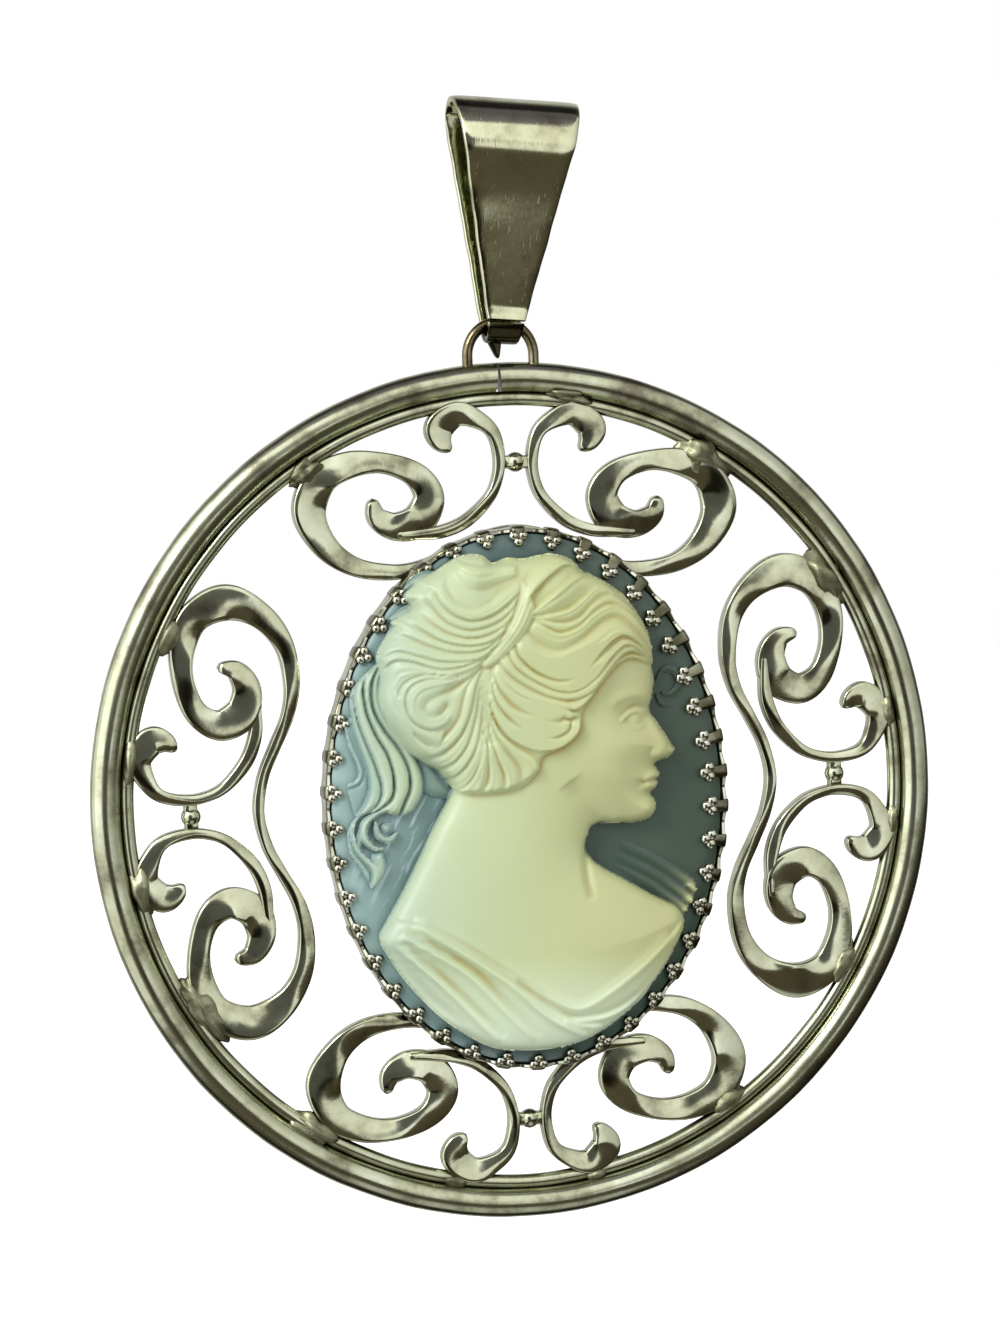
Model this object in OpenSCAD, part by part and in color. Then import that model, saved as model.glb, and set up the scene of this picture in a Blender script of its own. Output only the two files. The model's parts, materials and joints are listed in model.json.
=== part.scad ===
// Cameo pendant: a lady's bust in relief on a dark oval, held by trefoil prongs in an oval setting.
// The setting is soldered to four scroll braces inside a round frame that hangs from a tapered strap bail.
// It hangs as it is worn: the chain bears at the origin, the front faces -Y, X is to the right and Z is up.

/* [Round frame] */
// Outer diameter of the round frame
ring_d = 65; // [60:0.5:72]
// Radial width of the half-round rail
rail_w = 2.3; // [1.6:0.1:3]
// How far the rail's flat back lies behind the frame's middle plane
rail_back = 0.75; // [0.4:0.05:1]
// Diameter of the round wire soldered inside the rail
wire_d = 1.1; // [0.8:0.1:1.6]
// Width of the rail's open seam at its inner side
seam_w = 0.38; // [0.2:0.02:0.6]

/* [Scroll braces] */
// Length of one brace along the frame
brace_len = 34.4; // [30:0.2:38]
// How far a brace reaches in past the end of the oval setting
brace_lap = 3.7; // [2.5:0.1:5]
// Widest width of the scroll band
band_w = 2.6; // [2:0.1:3.2]
// Thickness of the braces, front to back
brace_t = 1.2; // [0.8:0.1:1.8]
// Diameter of the ball that joins the two scrolls of a brace
ball_d = 1.5; // [1:0.1:2]
// Radius of the solder where a scroll meets the wire
solder_r = 0.75; // [0.5:0.05:1]

/* [Cameo] */
// Width of the cameo
cameo_w = 30; // [27:0.5:32]
// Height of the cameo
cameo_h = 40; // [37:0.5:42]
// Height of the cameo's upright rim
rim_t = 1.4; // [1:0.1:2]
// Height of the bevel between the rim and the flat ground
bevel_t = 0.35; // [0.2:0.05:0.6]
// Width of that bevel
bevel_w = 1; // [0.6:0.1:1.6]
// Greatest height of the bust above the ground
relief_t = 3.4; // [2.4:0.1:4.5]
// How far the setting's middle lies to the right of the frame's middle
cup_right = 0.3; // [-0.6:0.1:0.6]
// How far the setting's middle lies below the frame's middle
cup_low = 0.35; // [-0.6:0.05:0.6]

/* [Setting] */
// Thickness of the setting's upright wall
wall_t = 0.4; // [0.3:0.05:0.6]
// Thickness of the setting's back plate
plate_t = 0.4; // [0.3:0.05:0.8]
// How far the wall stands above the cameo's rim
wall_over = 0.25; // [0.2:0.05:0.5]
// Number of trefoil prongs
prong_count = 42; // [32:1:48]
// Width of a prong's stem
stem_w = 0.85; // [0.6:0.05:1.1]
// Diameter of each of a trefoil's three beads
bead_d = 0.62; // [0.5:0.02:0.76]
// Thickness of the prongs
prong_t = 0.32; // [0.2:0.02:0.4]
// How far the shortest prongs reach in from the wall's outer face
prong_reach = 1.2; // [1.15:0.05:1.6]
// How much further the longest prongs reach
prong_extra = 1.1; // [0:0.1:1.5]
// Where the longest prongs are, in degrees up from the right end of the oval
longest_at = 25; // [0:1:60]

/* [Loop and bail] */
// Outer width of the half-round loop on top of the frame
loop_w = 5.9; // [5:0.1:7]
// Thickness of the loop's wire
loop_wire = 0.8; // [0.6:0.05:1]
// Height of the loop's arch centre above the frame's top
loop_rise = 0.53; // [0.3:0.01:1.2]
// Distance from the hinge line to the top of the bail
bail_h = 16.7; // [14:0.1:20]
// Width of the bail at its top
bail_top_w = 9.9; // [8:0.1:12]
// Width of the bail at the hinge line
bail_low_w = 2.9; // [2.5:0.1:3.2]
// Width of the bail at the lowest point of its bottom fold
bail_end_w = 2.4; // [2:0.1:2.8]
// Front-to-back depth of the bail's top fold
bail_deep = 6.4; // [6:0.1:8]
// Thickness of the bail's strap
strap_t = 0.6; // [0.4:0.05:0.8]
// Clearance round the loop's wire inside the bail's bottom fold
fold_gap = 0.7; // [0.5:0.05:0.9]
// How far the bail leans to the right on its loop, in degrees
bail_lean = 5.2; // [0:0.1:8]

/* [Hidden] */

// Small sizes that stay as they are
fit_gap = 0.05;
weld = 0.12;
seam_top_w = 0.1;
seam_left = 0.36;
slit_w = 0.15;
tip_clear = 0.28;
$fn = 64;

// Frame, measured from its middle
ring_r = ring_d / 2;
wire_mid_r = ring_r - rail_w - wire_d / 2 + weld;
inner_r = wire_mid_r - wire_d / 2;

// Setting and cameo, semi-axes and heights in front of the frame's middle plane
cameo_a = cameo_w / 2;
cameo_c = cameo_h / 2;
cup_a = cameo_a + fit_gap + wall_t;
cup_c = cameo_c + fit_gap + wall_t;
plate_y = brace_t / 2 + plate_t;
cameo_y = plate_y + fit_gap;
rim_y = cameo_y + rim_t;
ground_y = rim_y + bevel_t;
wall_y = rim_y + wall_over;
bust_y = ground_y + fit_gap;
prong_tilt = atan((ground_y + fit_gap + prong_t / 2 - wall_y) / (bevel_w + fit_gap + wall_t / 2));
oval_steps = 96;

// Bail and loop
fold_r = loop_wire / 2 + fold_gap;
top_r = bail_deep / 2;
loop_r = (loop_w - loop_wire) / 2;
hinge_drop = bail_h - strap_t;
tongue_len = loop_r + loop_rise - tip_clear;
bail_up = [sin(bail_lean), cos(bail_lean)];
loop_x = -(hinge_drop + loop_r) * bail_up[0];
loop_z = -(hinge_drop + loop_r) * bail_up[1];
ring_z = loop_z - loop_rise - ring_r;

// One scroll brace, right half. Each row is a point on the middle of the band:
// [along the brace from its middle, % of half its length,
//  depth below the frame's inner edge, % of the brace's depth, band width, % of the widest]
brace_depth = inner_r - cup_c + brace_lap;
SPIRAL = [
    [0, 75, 38], [15, 78, 38], [28, 84, 38], [41, 89, 42], [55, 87, 45], [72, 74, 56],
    [85, 52, 75], [92, 26, 100], [87, 11, 92], [75, 11, 79], [61, 18, 62], [48, 29, 67],
    [41, 40, 81], [39, 51, 92], [44, 61, 96], [54, 60, 81], [62, 50, 60], [64, 38, 27]];
SCROLL = [
    [29, 24, 19], [33, 17, 62], [34, 8, 85], [26, 2, 73], [16, 8, 50], [10, 16, 38],
    [7.5, 29, 33], [8, 42, 31], [12, 55, 33], [22, 67, 38], [33, 71, 38], [45, 68, 46]];
// Depth of the ball between the scrolls, reach of the bar through it to each scroll's middle,
// and where solder sits along the brace, all in the same %
BALL_DEPTH = 34;
BAR_ALONG = 7.5;
SOLDER_ALONG = [24, 86];
// Angle of each brace round the frame, and how far off it was soldered, in degrees
BRACES = [[0, -1.9], [90, 1], [180, 0], [270, 0]];

// Bust: [height, % of half the cameo's height, left edge and right edge, % of half its width,
//        height of the relief, % of the greatest]
BUST = [
    [-94, -16, 15, 30], [-90, -30, 30, 50], [-80, -50, 50, 66], [-67, -66, 65, 74],
    [-57, -75, 73, 76], [-49, -80, 77, 76], [-44, -77, 73, 76], [-39, -73, 62, 77],
    [-33, -68, 48, 78], [-27, -63, 34, 78], [-20, -58, 28, 78], [-14, -54, 29, 79],
    [-12, -52, 36, 80], [-10, -51, 54, 81], [-8, -50, 62, 82], [-5, -48, 65, 83],
    [-2, -45, 64, 84], [0, -43, 62, 85], [2, -41, 64, 86], [4, -40, 66, 87],
    [5, -40, 65, 87], [6.5, -40, 67, 88], [9, -42, 66, 89], [11, -43, 64, 90],
    [13, -45, 71, 91], [15.5, -47, 75, 92], [19, -50, 73, 93], [25, -54, 68, 95],
    [31, -58, 63, 97], [35, -60, 64, 98], [40, -63, 65, 99], [48, -69, 65, 100],
    [57, -74, 65, 99], [65, -68, 60, 96], [71, -62, 54, 92], [79, -52, 44, 84],
    [85, -42, 34, 73], [90, -30, 23, 60], [94, -13, 6, 45]];
// Tail of hair behind the neck, same columns, and the height above which it grows out of the bust's edge
TAIL = [
    [-30, -83, -79, 25], [-27, -86, -76, 34], [-20, -88, -75, 42], [-12, -89, -74, 46],
    [-4, -89, -66, 50], [2, -88, -60, 52], [9, -84, -56, 54], [16, -82, -54, 56],
    [24, -83, -57, 58], [33, -86, -61, 60], [42, -83, -64, 60], [50, -79, -66, 58]];
TAIL_JOIN = 28;
band_steps = 3;
bust_cols = 30;
tail_cols = 10;
row_steps = 2;
edge_t = 0.3;

// A value, or a row of values, between b and c on a smooth curve through a, b, c and d
function smooth(a, b, c, d, t) =
    (2 * b + (c - a) * t + (2 * a - 5 * b + 4 * c - d) * t * t + (3 * b - a - 3 * c + d) * t * t * t) / 2;

// Every row of a table with steps more rows put in between each pair
function finer(rows, steps) = let (n = len(rows) - 1) [
    for (i = [0 : n - 1], j = [0 : steps - 1])
        smooth(rows[max(i - 1, 0)], rows[i], rows[i + 1], rows[min(i + 2, n)], j / steps),
    rows[n]];

// A brace row in millimetres: [x, z, half width], z from the frame's middle
function placed(row) = let (x = row[0] / 100 * brace_len / 2)
    [x, sqrt(inner_r * inner_r - x * x) - row[1] / 100 * brace_depth, row[2] / 200 * band_w];
function mirrored(row) = [-row[0], row[1], row[2]];
function turned(v) = [-v[1], v[0]];
function unit(v) = v / norm(v);

// Outline of a band whose middle and half width are given at each point
function band_side(path, side) = [
    for (i = [0 : len(path) - 1]) let (
        here = path[i], before = path[max(i - 1, 0)], after = path[min(i + 1, len(path) - 1)],
        along = unit([after[0] - before[0], after[1] - before[1]]))
    [here[0], here[1]] + turned(along) * here[2] * side];
function band(path) = let (right = band_side(path, -1), n = len(path) - 1)
    concat(band_side(path, 1), [for (i = [0 : n]) right[n - i]]);

// Points of an oval, and its outline moved in by d
function oval(a, c, steps = oval_steps) = [
    for (i = [0 : steps - 1]) let (t = 360 * i / steps) [a * cos(t), c * sin(t)]];

// Angle parameter of the oval at equal steps of its length: running length table, then looked up
LENGTHS = let (pts = oval(cup_a, cup_c, 720)) [
    for (i = 0, run = 0; i <= 720; run = run + norm(pts[(i + 1) % 720] - pts[i % 720]), i = i + 1)
        [run, i / 2]];
function oval_angle(share) = lookup(share * LENGTHS[720][0], LENGTHS);

// Rail with its open seam, and the round wire inside it
module rail() {
    difference() {
        rotate([90, 0, 0]) rotate_extrude() translate([ring_r - rail_w / 2, 0]) difference() {
            circle(d = rail_w);
            translate([-rail_w, -rail_back - rail_w]) square([2 * rail_w, rail_w]);
        }
        translate([-seam_left, 0, ring_r]) rotate([90, 0, 0])
            linear_extrude(2 * rail_w, center = true) polygon([
                [-seam_top_w / 2, 1], [seam_top_w / 2, 1], [seam_w / 2, -rail_w - weld], [-seam_w / 2, -rail_w - weld]]);
    }
}

module inner_wire() rotate([90, 0, 0]) rotate_extrude() translate([wire_mid_r, 0]) circle(d = wire_d);

// One scroll brace at the top of the frame, with its ball and its solder
module brace() {
    half = [for (row = SPIRAL) placed(row)];
    arm = finer(half, band_steps);
    whole = concat([for (i = [len(arm) - 1 : -1 : 1]) mirrored(arm[i])], arm);
    scroll = finer([for (row = SCROLL) placed(row)], band_steps);
    rotate([90, 0, 0]) linear_extrude(brace_t, center = true) {
        polygon(band(whole));
        polygon(band(scroll));
        polygon(band([for (p = scroll) mirrored(p)]));
    }
    translate([0, 0, inner_r - BALL_DEPTH / 100 * brace_depth]) {
        sphere(d = ball_d);
        rotate([0, 90, 0]) cylinder(d = ball_d * 0.7, h = BAR_ALONG / 100 * brace_len, center = true);
    }
    for (share = SOLDER_ALONG, side = [-1, 1]) {
        spot = placed([share, 0, 0]);
        translate([side * spot[0], 0, spot[1]]) sphere(r = solder_r);
    }
}

module braces() for (b = BRACES) rotate([0, -b[0] - b[1], 0]) brace();

// Oval setting: back plate, upright wall and trefoil prongs folded over the cameo's bevel
module trefoil(reach) {
    bead_r = bead_d / 2;
    tip = reach - bead_r;
    translate([-stem_w / 2, -wall_t / 2]) square([stem_w, tip - bead_r + wall_t / 2]);
    translate([0, tip]) circle(r = bead_r, $fn = 24);
    translate([0, tip - bead_r]) circle(r = bead_r * 0.6, $fn = 24);
    for (side = [-1, 1]) translate([side * bead_r, tip - 1.5 * bead_r]) circle(r = bead_r * 1.05, $fn = 24);
}

module prong(angle) {
    foot = [(cup_a - wall_t / 2) * cos(angle), (cup_c - wall_t / 2) * sin(angle)];
    facing = atan2(cup_a * sin(angle), cup_c * cos(angle));
    longer = pow(max(0, cos(angle - longest_at)), 2);
    reach = (prong_reach - wall_t / 2 + prong_extra * longer) / cos(prong_tilt);
    translate([foot[0], -wall_y, foot[1]]) rotate([0, 90 - facing, 0]) rotate([-prong_tilt, 0, 0])
        rotate([-90, 0, 0]) linear_extrude(prong_t, center = true) trefoil(reach);
}

module setting() {
    rotate([90, 0, 0]) {
        translate([0, 0, brace_t / 2 - weld]) linear_extrude(plate_t + weld) polygon(oval(cup_a, cup_c));
        translate([0, 0, brace_t / 2]) linear_extrude(wall_y - brace_t / 2) difference() {
            polygon(oval(cup_a, cup_c));
            polygon(oval(cup_a - wall_t, cup_c - wall_t));
        }
    }
    for (i = [0 : prong_count - 1]) prong(oval_angle((i + 0.5) / prong_count));
}

// Half-round loop standing on top of the frame
module loop() translate([0, 0, ring_r + loop_rise]) {
    rotate([90, 0, 0]) rotate_extrude(angle = 180) translate([loop_r, 0]) circle(d = loop_wire);
    for (side = [-1, 1]) translate([side * loop_r, 0, -loop_rise - rail_w / 3])
        cylinder(d = loop_wire, h = loop_rise + rail_w / 3);
}

module frame() color("darkkhaki") translate([loop_x, 0, ring_z]) {
    rail();
    inner_wire();
    braces();
    translate([cup_right, 0, -cup_low]) setting();
    loop();
}

// Flat oval ground with a bevelled edge
module cameo_ground() {
    rings = [[0, cameo_y], [0, rim_y], [bevel_w, ground_y]];
    n = oval_steps;
    points = [for (r = rings, p = oval(cameo_a - r[0], cameo_c - r[0])) [p[0], -r[1], p[1]]];
    back = [[for (i = [0 : n - 1]) i]];
    front = [[for (i = [n - 1 : -1 : 0]) 2 * n + i]];
    sides = [for (r = [0, n], i = [0 : n - 1]) [r + i, r + n + i, r + n + (i + 1) % n, r + (i + 1) % n]];
    color("slategray") translate([loop_x + cup_right, 0, ring_z - cup_low])
        polyhedron(points, concat(back, front, sides));
}

// Height of the relief at a share s of the way across it, with a steep edge all round
function dome(s, high) = edge_t + (high / 100 * relief_t - edge_t) * pow(1 - pow(abs(2 * s - 1), 2.6), 0.5);
function relief_point(x, z, s, high) = [x / 100 * cameo_a, -bust_y - dome(s, high), z / 100 * cameo_c];
function tail_at(z, k) = lookup(z, [for (r = TAIL) [r[0], r[k]]]);

// Two triangles on four corners, and the flat back of a strip of rows: fans at its ends, pairs between
function pair(a, b, c, d) = [[a, c, b], [b, c, d]];
function flat_back(total, rows) = let (m = len(rows) - 1, n = len(rows[0]) - 1) concat(
    [for (j = [0 : n - 1]) [rows[1][0], rows[0][j], rows[0][j + 1]] + [1, 1, 1] * total],
    [[rows[1][0], rows[0][n], rows[1][n]] + [1, 1, 1] * total],
    [for (i = [1 : m - 2]) each
        pair(rows[i][n] + total, rows[i][0] + total, rows[i + 1][n] + total, rows[i + 1][0] + total)],
    [[rows[m - 1][0], rows[m - 1][n], rows[m][n]] + [1, 1, 1] * total],
    [for (j = [0 : n - 1]) [rows[m - 1][0], rows[m][j + 1], rows[m][j]] + [1, 1, 1] * total]);

// Bust and tail of hair as one body: rows of points over the head and shoulders, and more rows over the
// tail, which share the bust's left edge above TAIL_JOIN and leave the ground bare below it
module bust_body() {
    rows = finer(BUST, row_steps);
    m = len(rows);
    n = bust_cols;
    q = tail_cols;
    w = n + 1;
    low = min([for (i = [0 : m - 1]) if (rows[i][0] >= TAIL[0][0]) i]);
    top = max([for (i = [0 : m - 1]) if (rows[i][0] <= TAIL[len(TAIL) - 1][0]) i]);
    join = min([for (i = [0 : m - 1]) if (rows[i][0] >= TAIL_JOIN) i]);
    bust = [for (r = rows, j = [0 : n]) let (s = (1 - cos(180 * j / n)) / 2)
        relief_point(r[1] + (r[2] - r[1]) * s, r[0], s, r[3])];
    tail = [for (i = [low : top], j = [0 : q - 1]) let (
        s = (1 - cos(180 * j / q)) / 2, z = rows[i][0], left = tail_at(z, 1),
        right = i < join ? tail_at(z, 2) : rows[i][1])
        relief_point(left + (right - left) * s, z, s, tail_at(z, 3))];
    inner = [for (i = [low : join - 1]) let (z = rows[i][0])
        relief_point(tail_at(z, 2), z, 1, tail_at(z, 3))];
    front = concat(bust, tail, inner);
    function t(i, j) = j < q ? w * m + (i - low) * q + j
        : (i < join ? w * m + (top - low + 1) * q + i - low : i * w);
    rim = concat([for (j = [0 : n]) j], [for (i = [1 : m - 1]) i * w + n],
        [for (j = [n - 1 : -1 : 0]) (m - 1) * w + j], [for (i = [m - 2 : -1 : top]) i * w],
        [for (j = [q - 1 : -1 : 0]) t(top, j)], [for (i = [top - 1 : -1 : low]) t(i, 0)],
        [for (j = [1 : q]) t(low, j)], [for (i = [low + 1 : join]) t(i, q)],
        [for (i = [join - 1 : -1 : 1]) i * w]);
    count = len(rim);
    total = len(front);
    back = [for (p = front) [p[0], -bust_y, p[2]]];
    faces = concat(
        [for (i = [0 : m - 2], j = [0 : n - 1])
            each pair(i * w + j, i * w + j + 1, (i + 1) * w + j, (i + 1) * w + j + 1)],
        [for (i = [low : top - 1], j = [0 : q - 1])
            each pair(t(i, j), t(i, j + 1), t(i + 1, j), t(i + 1, j + 1))],
        [for (k = [0 : count - 1]) let (a = rim[k], b = rim[(k + 1) % count]) each pair(b, a, total + b, total + a)],
        flat_back(total, [for (i = [0 : m - 1]) [for (j = [0 : n]) i * w + j]]),
        flat_back(total, [for (i = [low : top]) [for (j = [0 : q]) t(i, j)]]));
    polyhedron(concat(front, back), faces);
}

module cameo_bust() color("ivory")
    translate([loop_x + cup_right, 0, ring_z - cup_low]) bust_body();

// Strap bail: one strip folded at the top for the chain and at the bottom round the loop
module fold_outline(r_top, r_low) {
    reach = hinge_drop + strap_t - top_r;
    tilt = asin((r_top - r_low) / reach);
    translate([0, reach]) circle(r = r_top);
    circle(r = r_low);
    polygon([
        [r_top * cos(tilt), reach - r_top * sin(tilt)], [-r_top * cos(tilt), reach - r_top * sin(tilt)],
        [-r_low * cos(tilt), -r_low * sin(tilt)], [r_low * cos(tilt), -r_low * sin(tilt)]]);
}

module bail() color("darkkhaki") rotate([0, bail_lean, 0]) translate([0, 0, -hinge_drop]) {
    low = fold_r + strap_t;
    difference() {
        intersection() {
            rotate([90, 0, 90]) linear_extrude(bail_top_w + 1, center = true) difference() {
                fold_outline(top_r, low);
                fold_outline(top_r - strap_t, fold_r);
            }
            rotate([90, 0, 0]) linear_extrude(bail_deep + 1, center = true) polygon([
                [-bail_top_w / 2, bail_h], [-bail_low_w / 2, 0], [-bail_end_w / 2, -low],
                [bail_end_w / 2, -low], [bail_low_w / 2, 0], [bail_top_w / 2, bail_h]]);
        }
        translate([-bail_top_w / 2, -low - strap_t, -slit_w / 2]) cube([bail_top_w, 1.5 * strap_t, slit_w]);
    }
    rotate([90, 0, 0]) linear_extrude(strap_t, center = true) polygon([
        [-bail_end_w / 2, -fold_r - strap_t / 2], [-bail_end_w / 8, -tongue_len], [0, -fold_r - strap_t / 2]]);
}

bail();
frame();
cameo_ground();
cameo_bust();
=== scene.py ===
# %% [markdown]
# # A round openwork cameo pendant
# The real object is a tarnished silver-coloured frame, 65 mm across. Four cast scroll braces carry an
# oval setting, trefoil prongs hold a resin cameo in it, and the frame hangs from a folded strap.
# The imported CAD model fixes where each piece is. This lesson dresses it: each piece is worked out as
# arrays of points with numpy, in millimetres, and is put into a mesh in metres.

# %% Load the fixed model and keep its size
import json
import math

import bmesh
import bpy
import numpy as np
from mathutils import Matrix, Vector


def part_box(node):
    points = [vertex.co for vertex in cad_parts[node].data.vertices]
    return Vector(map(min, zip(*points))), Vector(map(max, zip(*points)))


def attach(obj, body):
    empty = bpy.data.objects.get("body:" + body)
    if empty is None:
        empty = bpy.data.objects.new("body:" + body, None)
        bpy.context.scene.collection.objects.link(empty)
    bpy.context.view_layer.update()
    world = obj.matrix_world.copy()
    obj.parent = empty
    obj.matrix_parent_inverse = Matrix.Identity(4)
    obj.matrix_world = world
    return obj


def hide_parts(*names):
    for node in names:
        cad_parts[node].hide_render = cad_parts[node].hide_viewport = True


MM = 0.001
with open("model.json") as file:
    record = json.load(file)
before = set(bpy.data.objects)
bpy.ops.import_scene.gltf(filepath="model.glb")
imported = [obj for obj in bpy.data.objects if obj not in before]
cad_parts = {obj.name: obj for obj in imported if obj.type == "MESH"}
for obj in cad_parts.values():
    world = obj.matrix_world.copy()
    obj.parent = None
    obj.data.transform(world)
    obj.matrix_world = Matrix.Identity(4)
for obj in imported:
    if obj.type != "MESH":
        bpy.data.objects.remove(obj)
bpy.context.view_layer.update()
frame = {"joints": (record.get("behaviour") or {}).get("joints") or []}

# %% [markdown]
# ## Where things are
# The round frame's middle, the cameo's oval and the bail's hinge line are read from the CAD nodes and
# from the joint, so every new piece lands on the solid that it stands for. Only sizes that a node's
# box doesn't give, such as the width of the rail, are named here.

# %% Sizes and places in millimetres
RING_R = 32.5
RAIL_W = 2.3
RAIL_BACK = 0.75
WIRE_R = 0.55
BRACE_T = 1.2
WALL_T = 0.4
WALL_OVER = 0.25
BEVEL_T = 0.35
FIT_GAP = 0.05


def box_mm(node):
    """Lowest and highest corner of a CAD node, in millimetres."""
    return [np.array(corner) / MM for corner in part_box(node)]


frame_low, frame_high = box_mm("frame")
ring_mid = np.array([(frame_low[0] + frame_high[0]) / 2, 0, frame_low[2] + RING_R])
ground_low, ground_high = box_mm("cameo_ground")
cameo_mid = (ground_low + ground_high) / 2 * [1, 0, 1]
cameo_a, _, cameo_c = (ground_high - ground_low) / 2
ground_y = ground_low[1]
cameo_back = ground_high[1]
cup_a, cup_c = cameo_a + FIT_GAP + WALL_T, cameo_c + FIT_GAP + WALL_T
hinge = np.array(frame["joints"][0]["pos_m"]) / MM
bail_right = np.array(frame["joints"][0]["axis"])
bail_up = np.array([-bail_right[2], 0, bail_right[0]])
print("ring middle", ring_mid.round(2), "cameo middle", cameo_mid.round(2), "hinge", hinge.round(2))

# %% [markdown]
# ## From arrays to a mesh
# A piece is one or more closed shells. A shell is an array of points and a list of face arrays, with
# three or four corners each. The signed volume of a shell shows whether its faces point outwards, and
# they are turned round if they don't, so no shell ends up inside out.


# %% Shells and meshes
def outward(points, faces):
    """The same shell with its faces pointing out. Volume is a sixth of the sum of p0 . (p1 x p2)."""
    volume = 0
    for block in faces:
        for k in range(1, block.shape[1] - 1):
            p, q, r = (points[block[:, j]] for j in (0, k, k + 1))
            volume += np.einsum("ij,ij->i", p, np.cross(q, r)).sum()
    return points, ([block[:, ::-1] for block in faces] if volume < 0 else faces)


def joined(shells):
    """Several shells stacked into one: the later ones' point numbers are moved up."""
    points, faces, start = [], [], 0
    for shell_points, shell_faces in shells:
        points.append(shell_points)
        faces += [block + start for block in shell_faces]
        start += len(shell_points)
    return np.vstack(points), faces


def put_mesh(name, shell, sharp_deg=40):
    """A mesh object from a shell in millimetres, shaded smooth except at edges sharper than sharp_deg."""
    points, faces = shell
    corners = np.concatenate([block.ravel() for block in faces]).astype(np.int32)
    sizes = np.concatenate([np.full(len(block), block.shape[1]) for block in faces])
    mesh = bpy.data.meshes.new(name)
    mesh.vertices.add(len(points))
    mesh.vertices.foreach_set("co", (points * MM).astype(np.float32).ravel())
    mesh.loops.add(len(corners))
    mesh.loops.foreach_set("vertex_index", corners)
    mesh.polygons.add(len(sizes))
    mesh.polygons.foreach_set("loop_start", np.concatenate([[0], np.cumsum(sizes)[:-1]]).astype(np.int32))
    mesh.update(calc_edges=True)
    mesh.shade_smooth()
    mesh.set_sharp_from_angle(angle=math.radians(sharp_deg))
    piece = bpy.data.objects.new(name, mesh)
    bpy.context.collection.objects.link(piece)
    print(f"{name}: {len(points)} points, {int((sizes - 2).sum())} triangles")
    return piece


def finish_piece(piece, body, node, material):
    """Gives a piece its material and body, and hides the CAD node that it stands for."""
    piece.data.materials.append(material)
    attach(piece, body)
    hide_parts(node)


def frame_piece(name, shell, material, sharp_deg=40):
    """A piece of the soldered frame, from its shell to its material and body."""
    finish_piece(put_mesh(name, shell, sharp_deg), "pendant", "frame", material)


# %% Grids, sweeps and curves
def grid_faces(rows, cols, ring_rows=False, ring_cols=False):
    """Faces between neighbours on a grid of rows x cols points; a ring's last line joins its first."""
    i = np.arange(rows if ring_rows else rows - 1)[:, None]
    j = np.arange(cols if ring_cols else cols - 1)[None, :]
    near, far = i * cols, (i + 1) % rows * cols
    return np.stack([near + j, near + (j + 1) % cols, far + (j + 1) % cols, far + j], axis=-1).reshape(-1, 4)


def swept(points, ring=False):
    """Shell from sections, points[along, around, xyz]. Open ends are closed by fans on their middles."""
    rows, cols, _ = points.shape
    flat = points.reshape(-1, 3)
    faces = [grid_faces(rows, cols, ring_rows=ring, ring_cols=True)]
    if not ring:
        flat = np.vstack([flat, points[0].mean(0), points[-1].mean(0)])
        j = np.arange(cols)
        after = (j + 1) % cols
        last = (rows - 1) * cols
        faces.append(np.stack([after, j, np.full(cols, rows * cols)], axis=1))
        faces.append(np.stack([last + j, last + after, np.full(cols, rows * cols + 1)], axis=1))
    return outward(flat, faces)


def unit(vectors):
    """Vectors scaled to length one."""
    return vectors / np.linalg.norm(vectors, axis=-1, keepdims=True)


def full_turn(count):
    """Angles of count even steps round a circle, without the last, which would be the first again."""
    return np.linspace(0, 2 * np.pi, count, endpoint=False)


def superellipse(count, across, deep):
    """A rounded box one wide each way: cosine and sine, each raised to a power below one with its sign
    kept. The smaller the power, the squarer that side."""
    u, v = np.cos(full_turn(count)), np.sin(full_turn(count))
    return np.sign(u) * np.abs(u) ** across, np.sign(v) * np.abs(v) ** deep


def turned(points, degrees):
    """Turned about the ring's middle, clockwise as seen from the front for positive degrees."""
    c, s = math.cos(math.radians(degrees)), math.sin(math.radians(degrees))
    x, y, z = points.T
    return np.stack([x * c + z * s, y, z * c - x * s], axis=1) + ring_mid


def finer(rows, steps):
    """Catmull-Rom curve: between rows b and c it is the cubic that leaves b along c - a and meets c
    along d - b."""
    rows = np.asarray(rows, float)
    padded = np.vstack([rows[:1], rows, rows[-1:]])
    t = (np.arange(steps) / steps)[None, :, None]
    a, b, c, d = (padded[k:k + len(rows) - 1][:, None] for k in range(4))
    curve = b + ((c - a) * t + (2 * a - 5 * b + 4 * c - d) * t**2 + (3 * b - a - 3 * c + d) * t**3) / 2
    return np.vstack([curve.reshape(-1, rows.shape[1]), rows[-1:]])


def evenly(path, step):
    """The same path with points about step mm apart, looked up by its running length."""
    run = np.concatenate([[0], np.cumsum(np.linalg.norm(np.diff(path[:, :2], axis=0), axis=1))])
    at = np.linspace(0, run[-1], max(6, int(run[-1] / step)))
    return np.stack([np.interp(at, run, column) for column in path.T], axis=1)


def waver(t, size, seed):
    """Hand-made unevenness: four sines of unrelated length and random phase, size high in all."""
    phases = np.random.default_rng(seed).uniform(0, 2 * np.pi, 4)
    waves = [np.sin(t * rate + phase) for rate, phase in zip((0.55, 0.93, 1.71, 2.87), phases)]
    return size * sum(waves) / 4


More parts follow.
